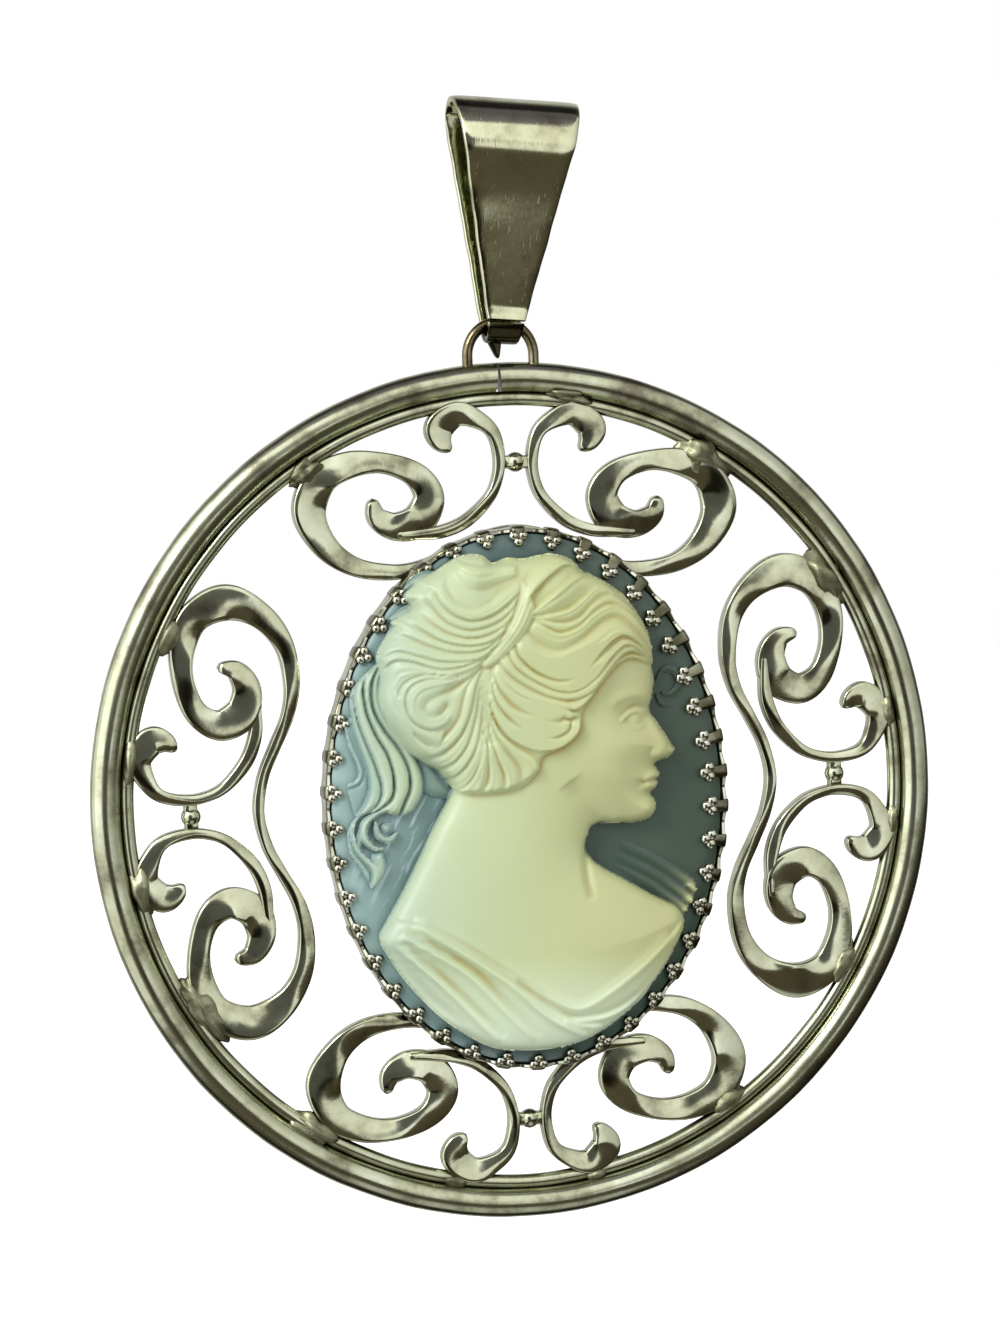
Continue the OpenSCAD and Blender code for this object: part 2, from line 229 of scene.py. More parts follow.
def ball(middle, radii, rows=10, cols=14):
    """A closed round bead: rows of latitude rings between two poles, scaled by its three radii."""
    up = np.linspace(0, np.pi, rows + 1)[1:-1, None]
    turn = full_turn(cols)[None, :]
    rings = np.stack([np.sin(up) * np.cos(turn), np.sin(up) * np.sin(turn), np.cos(up) + 0 * turn], axis=-1)
    points = np.vstack([rings.reshape(-1, 3), [[0, 0, 1], [0, 0, -1]]]) * radii + middle
    j = np.arange(cols)
    after = (j + 1) % cols
    count = (rows - 1) * cols
    caps = [np.stack([j, after, np.full(cols, count)], axis=1),
            np.stack([count - cols + after, count - cols + j, np.full(cols, count + 1)], axis=1)]
    return outward(points, [grid_faces(rows - 1, cols, ring_cols=True)] + caps)

# %% [markdown]
# ## The camera and the studio
# The photo looks a little down on the pendant and from its left, from about 35 cm, and is turned by
# two degrees. The pendant hangs over a pale floor. Polished metal shows its surroundings, so the world
# holds a studio that the metal can show: a pale tent above a dark room, brighter at the left, with a
# window there, a lit table in front, a glow behind for the views of the back, and a dark photographer.
# The camera itself sees plain white there, through the light path's camera ray. Three soft boxes light
# the resin, and the metal shows only the key light.


# %% Small helpers for nodes and colours
def linear(colour):
    """sRGB hex to linear red, green, blue, alpha: divide by 12.92 when dark, else a power of 2.4."""
    rgb = np.array([int(colour[k:k + 2], 16) for k in (1, 3, 5)]) / 255
    return (*np.where(rgb <= 0.04045, rgb / 12.92, ((rgb + 0.055) / 1.055) ** 2.4), 1.0)


def node(tree, kind, inputs=None, stops=(), **settings):
    """Adds a shader node, sets its properties, and sets or links its inputs by name or number. Stops are
    a colour ramp's positions, each with its hex colour or grey level."""
    made = tree.nodes.new("ShaderNode" + kind)
    for key, value in settings.items():
        setattr(made, key, value)
    for key, value in (inputs or {}).items():
        if isinstance(value, bpy.types.NodeSocket):
            tree.links.new(value, made.inputs[key])
        else:
            made.inputs[key].default_value = value
    if stops:
        band = made.color_ramp.elements
        while len(band) < len(stops):
            band.new(0.5)
        for element, (place, tone) in zip(band, stops):
            element.position = place
            element.color = linear(tone) if isinstance(tone, str) else (tone, tone, tone, 1)
    return made


# %% Camera
AZIMUTH, ELEVATION, ROLL = (math.radians(a) for a in (12, 4, 2.2))
DISTANCE = 350
SENSOR_W = 36
VIEW_HIGH = 101.04
MM_PER_PX = 0.0758
# The ring's middle in the photo, in pixels right of the picture's middle and below it
RING_RIGHT_PX, RING_BELOW_PX = 17, 125.2
towards = np.array([-math.sin(AZIMUTH) * math.cos(ELEVATION), -math.cos(AZIMUTH) * math.cos(ELEVATION),
                    math.sin(ELEVATION)])
level = unit(np.cross(-towards, [0, 0, 1]))
upright = np.cross(level, -towards)
view_up = upright * math.cos(ROLL) + level * math.sin(ROLL)
view_right = level * math.cos(ROLL) - upright * math.sin(ROLL)
target = ring_mid - view_right * RING_RIGHT_PX * MM_PER_PX + view_up * RING_BELOW_PX * MM_PER_PX

lens_data = bpy.data.cameras.new("camera")
lens_data.sensor_width = SENSOR_W
lens_data.lens = SENSOR_W * DISTANCE / VIEW_HIGH
lens_data.clip_start = 0.01
camera = bpy.data.objects.new("camera", lens_data)
facing_pendant = Matrix(np.array([view_right, view_up, towards]).T).to_quaternion()
camera.matrix_world = Matrix.LocRotScale(Vector((target + towards * DISTANCE) * MM), facing_pendant, None)
bpy.context.collection.objects.link(camera)
bpy.context.scene.camera = camera
bpy.context.scene.view_settings.view_transform = "Standard"
print("camera at", [round(v, 4) for v in camera.location], "lens", round(lens_data.lens, 1))

# %% Floor, world and lights
FLOOR_DROP = 25
FLOOR_SIDE, FLOOR_FRONT, FLOOR_BACK = 900, -700, 900
floor_z = frame_low[2] - FLOOR_DROP
floor_corners = np.array([[-FLOOR_SIDE, FLOOR_FRONT, floor_z], [FLOOR_SIDE, FLOOR_FRONT, floor_z],
                          [FLOOR_SIDE, FLOOR_BACK, floor_z], [-FLOOR_SIDE, FLOOR_BACK, floor_z]])
floor = put_mesh("floor", (floor_corners, [np.array([[0, 1, 2, 3]])]))
paint = bpy.data.materials.new("white_paper_floor")
paint.use_nodes = True
paint_shader = paint.node_tree.nodes["Principled BSDF"]
paint_shader.inputs["Base Color"].default_value = linear("#F4F4F2")
paint_shader.inputs["Roughness"].default_value = 0.9
paint_shader.inputs["Emission Color"].default_value = (1, 1, 1, 1)
paint_shader.inputs["Emission Strength"].default_value = 0.8
floor.data.materials.append(paint)
floor.visible_glossy = False
floor.visible_diffuse = False

# %% The studio that the metal shows
world = bpy.data.worlds.new("studio")
bpy.context.scene.world = world
world.use_nodes = True
tree = world.node_tree
tree.nodes.clear()
sky = node(tree, "TexCoord").outputs["Generated"]
# Each row: how it is put over the rows before, the direction that it lies in, how ragged its edge is, a
# seed for that, and its tones from the opposite direction (0) to its own (1)
STUDIO = {
    "tent_above": ("MULTIPLY", (0, 0, 1), 0.07, 3.0, [
        (0.0, "#4A4437"), (0.425, "#5A5345"), (0.442, 1.1), (0.6, 1.25), (0.89, 1.25), (0.91, "#857F8C"),
        (1.0, "#5A5560")]),
    "room_in_front": ("MULTIPLY", (0, -1, 0), 0.06, 7.0, [(0.0, 0.12), (0.44, 0.12), (0.50, 1.0)]),
    "darker_right": ("MULTIPLY", (1, 0, 0), 0.05, 5.0, [
        (0.0, 1.4), (0.3, 1.15), (0.6, 0.95), (0.85, 0.5), (1.0, 0.35)]),
    "window_left": ("LIGHTEN", (-0.95, -0.25, 0.1), 0.05, 2.0, [(0.0, 0.0), (0.80, 0.0), (0.84, 1.0)]),
    "lit_table": ("LIGHTEN", (0.1, -0.45, -0.88), 0.06, 9.0, [
        (0.0, 0.0), (0.955, 0.0), (0.97, 0.45), (1.0, 0.6)]),
    "glow_behind": ("LIGHTEN", (0, 1, 0), 0.05, 13.0, [(0.0, 0.0), (0.76, 0.0), (0.86, 0.5), (1.0, 0.6)]),
    "photographer": ("MULTIPLY", towards, 0.05, 11.0, [(0.0, 1.0), (0.960, 1.0), (0.970, 0.12), (1.0, 0.08)])}
RAGGED_SCALE = 3.0


def facing(direction, ragged, seed):
    """How nearly a ray points in a direction: their dot product, moved by a smooth noise between -ragged
    and ragged and then from -1..1 to 0..1."""
    moved = node(tree, "VectorMath", {0: sky, 1: (seed, 0.0, 0.0)}, operation="ADD").outputs["Vector"]
    noise = node(tree, "TexNoise", {"Vector": moved, "Scale": RAGGED_SCALE, "Detail": 1.0}).outputs["Fac"]
    shift = node(tree, "Math", {0: noise, 1: 2 * ragged, 2: -ragged}, operation="MULTIPLY_ADD").outputs[0]
    along = tuple(unit(np.array(direction, float)))
    dot = node(tree, "VectorMath", {0: sky, 1: along}, operation="DOT_PRODUCT").outputs["Value"]
    both = node(tree, "Math", {0: dot, 1: shift}, operation="ADD").outputs[0]
    return node(tree, "MapRange", {"Value": both, "From Min": -1.0, "From Max": 1.0}).outputs[0]


shown = (1, 1, 1, 1)
for blend, direction, ragged, seed, stops in STUDIO.values():
    tone = node(tree, "ValToRGB", {"Fac": facing(direction, ragged, seed)}, stops).outputs[0]
    shown = node(tree, "Mix", {0: 1.0, 6: shown, 7: tone}, data_type="RGBA", blend_type=blend).outputs[2]
studio = node(tree, "Background", {"Color": shown, "Strength": 1.0})
plain = node(tree, "Background", {"Color": (1, 1, 1, 1), "Strength": 1.0})
eye = node(tree, "LightPath").outputs["Is Camera Ray"]
mix = node(tree, "MixShader", {0: eye, 1: studio.outputs[0], 2: plain.outputs[0]})
node(tree, "OutputWorld", {"Surface": mix.outputs[0]})
print("studio:", ", ".join(STUDIO))


# %% Soft boxes
def soft_light(name, from_middle, size, watts):
    """A square soft box at from_middle mm from the cameo's middle, turned to face it."""
    data = bpy.data.lights.new(name, "AREA")
    data.size = size * MM
    data.energy = watts
    light = bpy.data.objects.new(name, data)
    light.location = (cameo_mid + from_middle) * MM
    light.rotation_euler = Vector(from_middle).to_track_quat("Z", "Y").to_euler()
    light.visible_glossy = name == "key_light"
    bpy.context.collection.objects.link(light)
    print(f"{name}: {size} mm wide, {watts} W")


soft_light("key_light", (-300, -230, 260), 150, 0.95)
soft_light("fill_light", (300, -330, 60), 260, 0.75)
soft_light("bounce_light", (-40, -90, -260), 220, 2.2)

# %% [markdown]
# ## The metal
# The frame is a silver-coloured alloy with a yellowish tarnish: bright on the domes that a cloth rubs,
# brown-black in the corners where no cloth reaches. The tarnish follows two things that don't depend
# on the camera: how closed-in a point is, and a slow blotchy noise. The darkening of closed-in points
# is also painted shade, where the parts hide each other from the light. A fine noise in the roughness
# and the bump gives the smeared reflections of old polishing.


# %% An empty material
def new_material(name):
    """A material without nodes, its tree, and the place on the piece that its patterns go by."""
    made = bpy.data.materials.new(name)
    made.use_nodes = True
    made.node_tree.nodes.clear()
    return made, made.node_tree, node(made.node_tree, "TexCoord").outputs["Object"]


# %% Silver materials
CAST_TONES = ("#8A8670", "#C6C9A8", "#E0E4CA")


def tarnished_silver(name, rough, pits, tones=CAST_TONES, hairlines=0.0, painted_shade_below=None):
    """Common tarnished silver alloy. pits and hairlines are the strength of its dents and scratches,
    tones its colours from stained to clean. Closed-in points turn dark brown: tarnish, and painted shade.
    Below the height painted_shade_below, in mm, the colour is all that dark brown: painted shade."""
    made, tree, place = new_material(name)
    blotch = node(tree, "TexNoise", {"Vector": place, "Scale": 1 / (3.5 * MM), "Detail": 4.0,
                                     "Roughness": 0.6}).outputs["Fac"]
    grain = node(tree, "TexNoise", {"Vector": place, "Scale": 1 / (0.5 * MM), "Detail": 3.0,
                                    "Roughness": 0.6}).outputs["Fac"]
    openness = node(tree, "AmbientOcclusion", {"Distance": 1.3 * MM}, samples=6).outputs["AO"]
    # Closed-in points turn dark brown: tarnish, and painted shade where the parts hide each other.
    rubbed_and_unshaded = node(tree, "ValToRGB", {"Fac": openness}, [(0.25, 0.0), (0.85, 1.0)]).outputs[0]
    # Below the strap's fold, painted shade: the colour is all dark brown there.
    if painted_shade_below is not None:
        level_z = node(tree, "SeparateXYZ", {0: place}).outputs["Z"]
        free = node(tree, "MapRange", {"Value": level_z, "From Min": (painted_shade_below - 0.25) * MM,
                                       "From Max": painted_shade_below * MM})
        rubbed_and_unshaded = node(tree, "Math", {0: rubbed_and_unshaded, 1: free.outputs[0]}, operation="MULTIPLY").outputs[0]
    clean = node(tree, "ValToRGB", {"Fac": blotch}, list(zip((0.30, 0.46, 0.70), tones))).outputs[0]
    colour = node(tree, "Mix", {0: rubbed_and_unshaded, 6: linear("#3B3726"), 7: clean}, data_type="RGBA").outputs[2]
    uneven = node(tree, "MapRange", {"Value": blotch, "From Min": 0.3, "From Max": 0.7,
                                     "To Min": rough * 1.5, "To Max": rough * 0.7}).outputs[0]
    height = grain
    if hairlines:
        stretched = node(tree, "Mapping", {"Vector": place, "Rotation": (0, math.radians(5), 0),
                                           "Scale": (0.14 * MM, 0.14 * MM, 4 * MM)}, vector_type="TEXTURE")
        lines = node(tree, "TexNoise", {"Vector": stretched.outputs[0], "Scale": 1.0,
                                        "Detail": 2.0}).outputs["Fac"]
        height = node(tree, "Mix", {0: hairlines, 6: grain, 7: lines}, data_type="RGBA").outputs[2]
        scuffed = node(tree, "ValToRGB", {"Fac": lines}, [(0.66, 0.0), (0.76, 0.3)]).outputs[0]
        uneven = node(tree, "Math", {0: uneven, 1: scuffed}, operation="ADD").outputs[0]
    bump = node(tree, "Bump", {"Height": height, "Strength": pits, "Distance": 0.03 * MM}).outputs["Normal"]
    shader = node(tree, "BsdfPrincipled", {"Base Color": colour, "Metallic": 1.0, "Roughness": uneven,
                                           "Normal": bump})
    node(tree, "OutputMaterial", {"Surface": shader.outputs[0]})
    return made


silver_wire = tarnished_silver("half_round_wire_silver", 0.2, 0.2)
silver_cast = tarnished_silver("cast_scroll_silver", 0.09, 0.12)
silver_solder = tarnished_silver("rough_solder", 0.42, 1.4, ("#5E5C48", "#9A9A7C", "#BCBE9C"))
# The loop's silver has darker tones than the rest of the frame.
silver_loop = tarnished_silver("darker_loop_silver", 0.2, 0.4, ("#3A3020", "#776A4E", "#C0BA98"))
silver_prong = tarnished_silver("stamped_prong_silver", 0.1, 0.2, ("#A8A68C", "#DADAC4", "#F2F2E2"))
# The stems are a darker copy of the prongs' silver: painted shade, as they stand in shade by the wall.
silver_stem = tarnished_silver("prong_stem_silver_painted_shade", 0.13, 0.5, ("#3A3828", "#74725A", "#C4C4AA"))
# The strap's lower fold and pointed end get painted shade: dark below its hinge line.
STRAP_PAINTED_SHADE_BELOW = hinge[2] - 0.1
silver_strap = tarnished_silver("strap_silver_rubbed_and_painted_shade", 0.1, 0.25, ("#A8A288", "#D6D8B2", "#ECEED0"),
                                hairlines=0.7, painted_shade_below=STRAP_PAINTED_SHADE_BELOW)
print("the strap is rubbed bright above", round(STRAP_PAINTED_SHADE_BELOW, 2), "mm")

# %% [markdown]
# ## The rail and its wire
# The rail is half-round wire bent into a ring, flat behind, and its ends don't quite meet: a narrow
# V-shaped seam shows at the top. It is a sweep round the ring whose columns each start and end at the
# seam's own slanting edge. A round wire is soldered inside it. Slow sines keep both from being perfect.

# %% Rail
SEAM_LEFT = 0.36
SEAM_TOP_W = 0.1
SEAM_LOW_W = 0.38


def rail_shell(rows=1100, around=36):
    """Half-round section: a circle of half the rail's width, cut flat at the back, carried round the
    ring. At each radius it runs from one side of the seam to the other, whose gap widens inwards."""
    turn = full_turn(around)
    half = RAIL_W / 2
    r = RING_R - half + half * np.cos(turn)
    y = np.minimum(half * -np.sin(turn), RAIL_BACK)
    gap = (SEAM_TOP_W + (SEAM_LOW_W - SEAM_TOP_W) * (RING_R - r) / RAIL_W) / 2
    start = np.arcsin((-SEAM_LEFT + gap) / r)
    end = 2 * np.pi + np.arcsin((-SEAM_LEFT - gap) / r)
    share = np.linspace(0, 1, rows)[:, None]
    angle = start + (end - start) * share
    r = r + waver(angle * 11, 0.03, 1) + waver(angle * 37, 0.008, 2)
    y = y + 0 * angle + waver(angle * 9, 0.04, 3)
    return swept(np.stack([r * np.sin(angle), y, r * np.cos(angle)], axis=-1) + ring_mid)


frame_piece("rail", rail_shell(), silver_wire)

# %% Round wire inside the rail
WELD = 0.12
wire_mid_r = RING_R - RAIL_W - WIRE_R + WELD
inner_r = wire_mid_r - WIRE_R


def wire_shell(rows=900, around=18):
    """A circle of WIRE_R carried round a ring of wire_mid_r."""
    angle, turn = full_turn(rows)[:, None], full_turn(around)[None, :]
    r = wire_mid_r + WIRE_R * np.cos(turn) + waver(angle * 12, 0.03, 4)
    y = WIRE_R * np.sin(turn) + 0 * angle
    return swept(np.stack([r * np.sin(angle), y, r * np.cos(angle)], axis=-1) + ring_mid, ring=True)


frame_piece("inner_wire", wire_shell(), silver_wire)

# %% [markdown]
# ## The four scroll braces
# Each brace is one casting, used four times: a thin bar along its middle that swells into a broad
# scroll at each side and curls back on itself, and two comma-shaped scrolls that stand on the bar. A
# band is a smooth path with a width at each point, swept with a domed section: a superellipse that is
# rounder at the front than at the back. Its ends close like a finger tip.

# %% The paths of one half brace
BRACE_HALF = 17.2
BRACE_LAP = 3.7
BRACE_DEPTH = inner_r - cup_c + BRACE_LAP
BAND_HALF = 1.3
# Each row: along the brace from its middle, depth below the wire, and band width, all in percent
BIG_SCROLL = [[0, 75, 32], [15, 78, 32], [28, 84, 33], [41, 89, 38], [55, 87, 45], [72, 74, 56],
    [85, 52, 75], [92, 26, 100], [87, 11, 92], [75, 11, 79], [61, 18, 62], [48, 29, 67], [41, 40, 81],
    [39, 51, 92], [44, 61, 96], [54, 60, 81], [62, 50, 60], [64, 38, 27]]
COMMA_SCROLL = [[29, 24, 19], [33, 17, 62], [34, 8, 85], [26, 2, 73], [16, 8, 50], [10, 16, 38],
    [7.5, 29, 33], [8, 42, 31], [12, 55, 33], [22, 67, 38], [33, 71, 38], [44, 69, 30], [54, 65, 18]]


def placed(rows):
    """Percent to millimetres: x along the brace, z from the frame's middle, half width of the band."""
    along, deep, wide = np.array(rows, float).T / 100
    x = along * BRACE_HALF
    return np.stack([x, np.sqrt(inner_r**2 - x**2) - deep * BRACE_DEPTH, wide * BAND_HALF], axis=1)


def band_shell(rows, seed, up, mirror=False, step=0.16, around=28, thick=BRACE_T):
    """At each point of the path the section is a superellipse with exponent 8, half the width across and
    half the thickness deep, slightly domed at the front. The front leans to and fro along the band, and
    everywhere by up, the slope along x and along z with which the whole brace was soldered. Near a free
    end both sizes shrink by the square root of one minus the squared distance, like a ball."""
    path = evenly(finer(rows, 12), step)
    if mirror:
        path = path * [-1, 1, 1]
    run = np.arange(len(path)) * step
    middle, half = path[:, :2], path[:, 2:]
    along = unit(np.gradient(middle, axis=0))
    across = np.stack([-along[:, 1], along[:, 0]], axis=1)
    into = np.minimum(run[:, None], (run[-1] - run)[:, None])
    rounding = np.maximum(half, 0.25)
    close = np.sqrt(np.clip(1 - (1 - np.minimum(into / rounding, 1)) ** 2, 0.02, 1))
    half = half * close * (1 + waver(run[:, None] * 0.5, 0.05, seed))
    u, v = superellipse(around, 2 / 8, 2 / 8)
    v = v * np.where(v > 0, 1 - 0.10 * u**2, 1)
    crest = thick / 2 * (0.35 + 0.65 * close) * (1 + waver(run[:, None] * 0.4, 0.05, seed + 5))
    flat = middle[:, None] + across[:, None] * (half * u)[..., None]
    slope = waver(run[:, None] * 0.38, 0.30, seed + 9) + across @ np.array(up)[:, None]
    lean = slope * half * u * np.clip(v, 0, 1)
    return swept(np.stack([flat[..., 0], lean - crest * v, flat[..., 1]], axis=-1))


# %% One whole brace, turned to its four places
BALL_R = 0.75
BALL_DEEP = 0.34
BAR_HALF = 1.29
# Angle round the frame, how far off true it was soldered, and how far its faces look up, in degrees
BRACES = {"brace_top": (0, -1.9, 0), "brace_left": (90, 1, 4), "brace_low": (180, 0, 5),
          "brace_right": (270, 0, 1.5)}


def brace_shell(seed, up):
    """The bar with its two big scrolls is one band from tip to tip. The commas, the ball and the short
    bar through the ball are bands and a ball of their own, sunk into each other as cast."""
    half = placed(BIG_SCROLL)
    whole = np.vstack([half[:0:-1] * [-1, 1, 1], half])
    comma = placed(COMMA_SCROLL)
    z = inner_r - BALL_DEEP * BRACE_DEPTH
    bar = [[-BAR_HALF, z, 0.5], [0, z, 0.5], [BAR_HALF, z, 0.5]]
    return joined([band_shell(whole, seed, up), band_shell(comma, seed + 1, up),
                   band_shell(comma, seed + 2, up, mirror=True), band_shell(bar, seed + 3, up, thick=1.0),
                   ball([0, 0, z], [BALL_R] * 3, 16, 24)])


for number, (name, (place, off, look_up)) in enumerate(BRACES.items()):
    turn = math.radians(-place - off)
    rise = math.tan(math.radians(look_up))
    points, faces = brace_shell(10 + 7 * number, [-math.sin(turn) * rise, math.cos(turn) * rise])
    frame_piece(name, (turned(points, -place - off), faces), silver_cast)

# %% [markdown]
# ## Solder
# Where a scroll meets the wire a little solder was run in by hand, each time differently: some blobs
# are smooth, some are torn and patched. Each is a ball stretched along the wire, whose radius is
# roughened by sines of its own direction.

# %% Solder lumps
SOLDER_BACK = 0.55
# Each row: x and z from the ring's middle, reach along and across the wire, height, roughness
SOLDER = [
    [-15.3, 24.9, 1.5, 0.8, 1.0, 0.14], [15.3, 24.9, 2.3, 1.2, 1.1, 0.16], [-26.1, 13.0, 1.5, 0.8, 0.9, 0.06],
    [-29.4, 3.9, 2.2, 0.6, 0.8, 0.05], [-29.0, -5.5, 2.2, 0.9, 0.9, 0.1], [-24.7, -15.0, 2.6, 1.1, 1.0, 0.12],
    [24.7, 15.1, 2.5, 1.2, 1, 0.15], [-16.6, -24.6, 2.0, 1.0, 0.9, 0.13], [-6.0, -29.4, 1.0, 0.6, 0.8, 0.05],
    [15.6, -24.6, 1.5, 0.9, 0.9, 0.08], [5.0, -29.6, 0.9, 0.5, 0.8, 0.04], [5.1, 29.8, 1.9, 0.7, 1.0, 0.14],
    [29.4, -3.8, 1.4, 0.6, 0.8, 0.06], [29.3, 4.6, 1.4, 0.6, 0.8, 0.06], [25.1, -14.6, 1.7, 0.8, 0.9, 0.08]]


def lump_shell(x, z, along, across, height, rough, seed):
    """A ball whose radius at direction d is 1 + rough * a sum of sines of d, stretched along the wire."""
    points, faces = ball([0, 0, 0], [1, 1, 1], 22, 30)
    waves = np.random.default_rng(seed).normal(0, 1, (14, 4)) * [4.5, 4.5, 4.5, 2.0]
    swell = np.sin(points @ waves[:, :3].T + waves[:, 3]).sum(1) / 3
    points = points * (1 + rough * swell)[:, None] * [along, height, across]
    points[:, 1] = np.minimum(points[:, 1], SOLDER_BACK)
    return turned(points, math.degrees(math.atan2(x, z))) + [x, 0, z], faces


lumps = joined([lump_shell(*row, seed=40 + k) for k, row in enumerate(SOLDER)])
frame_piece("solder", lumps, silver_solder, 60)

# %% [markdown]
# ## The loop and the strap bail
# The loop is a bent wire standing in the rail. The bail is one tapered strip: it starts at a slit in
# front of the loop, folds round the loop, runs up the back, over the top where the chain goes, and
# down the front to the slit again. Its own pointed end shows below the fold. The strip is a path in
# the strap's side view, swept across with a width that depends on the height alone.

# %% Loop
LOOP_R = 2.55
LOOP_WIRE_R = 0.4
LOOP_RISE = 0.53


def loop_shell(around=18):
    """Half a ring of LOOP_R with two straight legs that end inside the rail."""
    turn = np.linspace(0, np.pi, 40)
    arch = np.stack([LOOP_R * np.cos(turn), LOOP_R * np.sin(turn) + LOOP_RISE], axis=1)
    foot = -RAIL_W / 3
    path = np.vstack([[LOOP_R, foot], arch, [-LOOP_R, foot]])
    along = unit(np.gradient(path, axis=0))
    side = np.stack([-along[:, 1], along[:, 0]], axis=1)
    spin = full_turn(around)
    flat = path[:, None] + side[:, None] * (LOOP_WIRE_R * np.cos(spin))[None, :, None]
    y = LOOP_WIRE_R * np.sin(spin) + np.zeros((len(path), 1))
    return swept(np.stack([flat[..., 0], y, flat[..., 1] + RING_R], axis=-1) + ring_mid)


frame_piece("loop", loop_shell(), silver_loop)

# %% Strap bail
STRAP_T = 0.6
TOP_R = 3.2
LOW_R = 1.7
HINGE_DROP = 16.1
SLIT_HALF = 0.09
LIP_LEN = 1.1
LIP_OUT = 0.2
BULGE, BULGE_BELOW, BULGE_REACH = 0.28, 0.8, 1.7
BAIL_TOP_W, BAIL_HINGE_W, BAIL_END_W = 9.9, 2.9, 2.4
TONGUE_LEN = 2.8


def leaned(points):
    """From the strap's own axes, with the hinge line at zero, to the pendant's: along the joint's own
    axis, straight back, and along the strap."""
    x, y, z = (points[..., k:k + 1] for k in range(3))
    return hinge + x * bail_right + y * [0, 1, 0] + z * bail_up


def strap_shell(step=0.14, around=44):
    """Side view: two arcs and the two straight lines that touch both, with a slight bulge below the
    front of the top arc and a lip that stands off where the end covers the start. Section: a
    superellipse with exponent 9 across and the strap's thickness deep, wavering from the hammer."""
    reach = HINGE_DROP + STRAP_T - TOP_R
    tilt = math.asin((TOP_R - LOW_R) / reach)
    low, top = LOW_R - STRAP_T / 2, TOP_R - STRAP_T / 2
    under = np.linspace(np.pi + tilt, 2 * np.pi - tilt, 40)
    over = np.linspace(-tilt, np.pi + tilt, 60)
    arc_low = np.stack([low * np.cos(under), low * np.sin(under)], axis=1)
    arc_top = np.stack([top * np.cos(over), top * np.sin(over) + reach], axis=1)
    slope = (arc_top[-1] - arc_low[0]) / (arc_top[-1] - arc_low[0])[1]
    first = arc_low[0] + slope * (-SLIT_HALF - arc_low[0, 1])
    last = arc_low[0] + slope * (SLIT_HALF - arc_low[0, 1])
    lip = np.stack([np.linspace(0, LIP_LEN, 6), LIP_OUT * np.linspace(0, 1, 6) ** 2], axis=1)[1:]
    flared = last + slope * (LIP_LEN - lip[:, :1]) - [1, 0] * lip[:, 1:]
    path = evenly(np.vstack([first, arc_low, arc_top, last + slope * LIP_LEN, flared]), step)
    bulge = BULGE * np.exp(-((path[:, 1] - reach + BULGE_BELOW) / BULGE_REACH) ** 2)
    path[:, 0] -= bulge * (path[:, 0] < 0)
    along = unit(np.gradient(path, axis=0))
    out = np.stack([along[:, 1], -along[:, 0]], axis=1)
    z = path[:, 1]
    half = np.interp(z, [-LOW_R, 0, HINGE_DROP + STRAP_T], [BAIL_END_W / 2, BAIL_HINGE_W / 2, BAIL_TOP_W / 2])
    run = np.arange(len(path)) * step
    half = half + waver(run * 0.9, 0.05, 21)
    u, v = superellipse(around, 2 / 9, 2 / 5)
    x = half[:, None] * u
    depth = STRAP_T / 2 * v + waver(run[:, None] * 0.6 + x * 0.5, 0.02, 22) * np.abs(v)
    flat = path[:, None] + out[:, None] * depth[..., None]
    return swept(leaned(np.stack([x, flat[..., 0], flat[..., 1]], axis=-1)))


def tongue_shell(around=24):
    """The strip's pointed end: its left half at full width, tapering to a rounded point."""
    share = np.linspace(0, 1, 26)
    z = -LOW_R + 0.3 - share * (TONGUE_LEN - LOW_R + 0.3)
    close = np.sqrt(np.clip(1 - np.maximum(0, (share - 0.8) / 0.2) ** 2, 0.03, 1))
    left = -BAIL_END_W / 2 + share * (BAIL_END_W / 2 - 0.34)
    right = 0.02 - share * 0.1
    middle, half = (left + right) / 2, (right - left) / 2 * close
    u, v = superellipse(around, 0.4, 0.5)
    x = middle[:, None] + half[:, None] * u
    return swept(leaned(np.stack([x, STRAP_T / 2 * v * close[:, None], z[:, None] + 0 * x], axis=-1)))


strap = put_mesh("bail_strap", joined([strap_shell(), tongue_shell()]), 60)
finish_piece(strap, "bail", "bail", silver_strap)

# %% [markdown]
# ## The oval setting
# The setting is stamped from thin sheet: a plate, an upright wall whose top edge dips between the
# prongs, and forty-two prongs that are bent over the cameo and end in three round beads. Everything
# follows one oval, walked in equal steps of its length, so the prongs stand evenly.

# %% The oval, by length
PRONGS = 42
PLATE_T = 0.4
wall_front = -(abs(ground_y) - BEVEL_T + WALL_OVER)
dense = np.linspace(0, 2 * np.pi, 1441)
dense_oval = np.stack([cup_a * np.cos(dense), cup_c * np.sin(dense)], axis=1)
dense_run = np.concatenate([[0], np.cumsum(np.linalg.norm(np.diff(dense_oval, axis=0), axis=1))])
print("setting is", round(dense_run[-1], 1), "mm round; a prong every", round(dense_run[-1] / PRONGS, 2))


def oval_at(share):
    """Point on the setting's outer edge at a share of its length, and the outward direction there. The
    direction is the gradient of x2/a2 + z2/c2, scaled to one."""
    t = np.interp(np.asarray(share) * dense_run[-1], dense_run, dense)
    point = np.stack([cup_a * np.cos(t), 0 * t, cup_c * np.sin(t)], axis=-1)
    outwards = unit(np.stack([np.cos(t) / cup_a, 0 * t, np.sin(t) / cup_c], axis=-1))
    return point, outwards


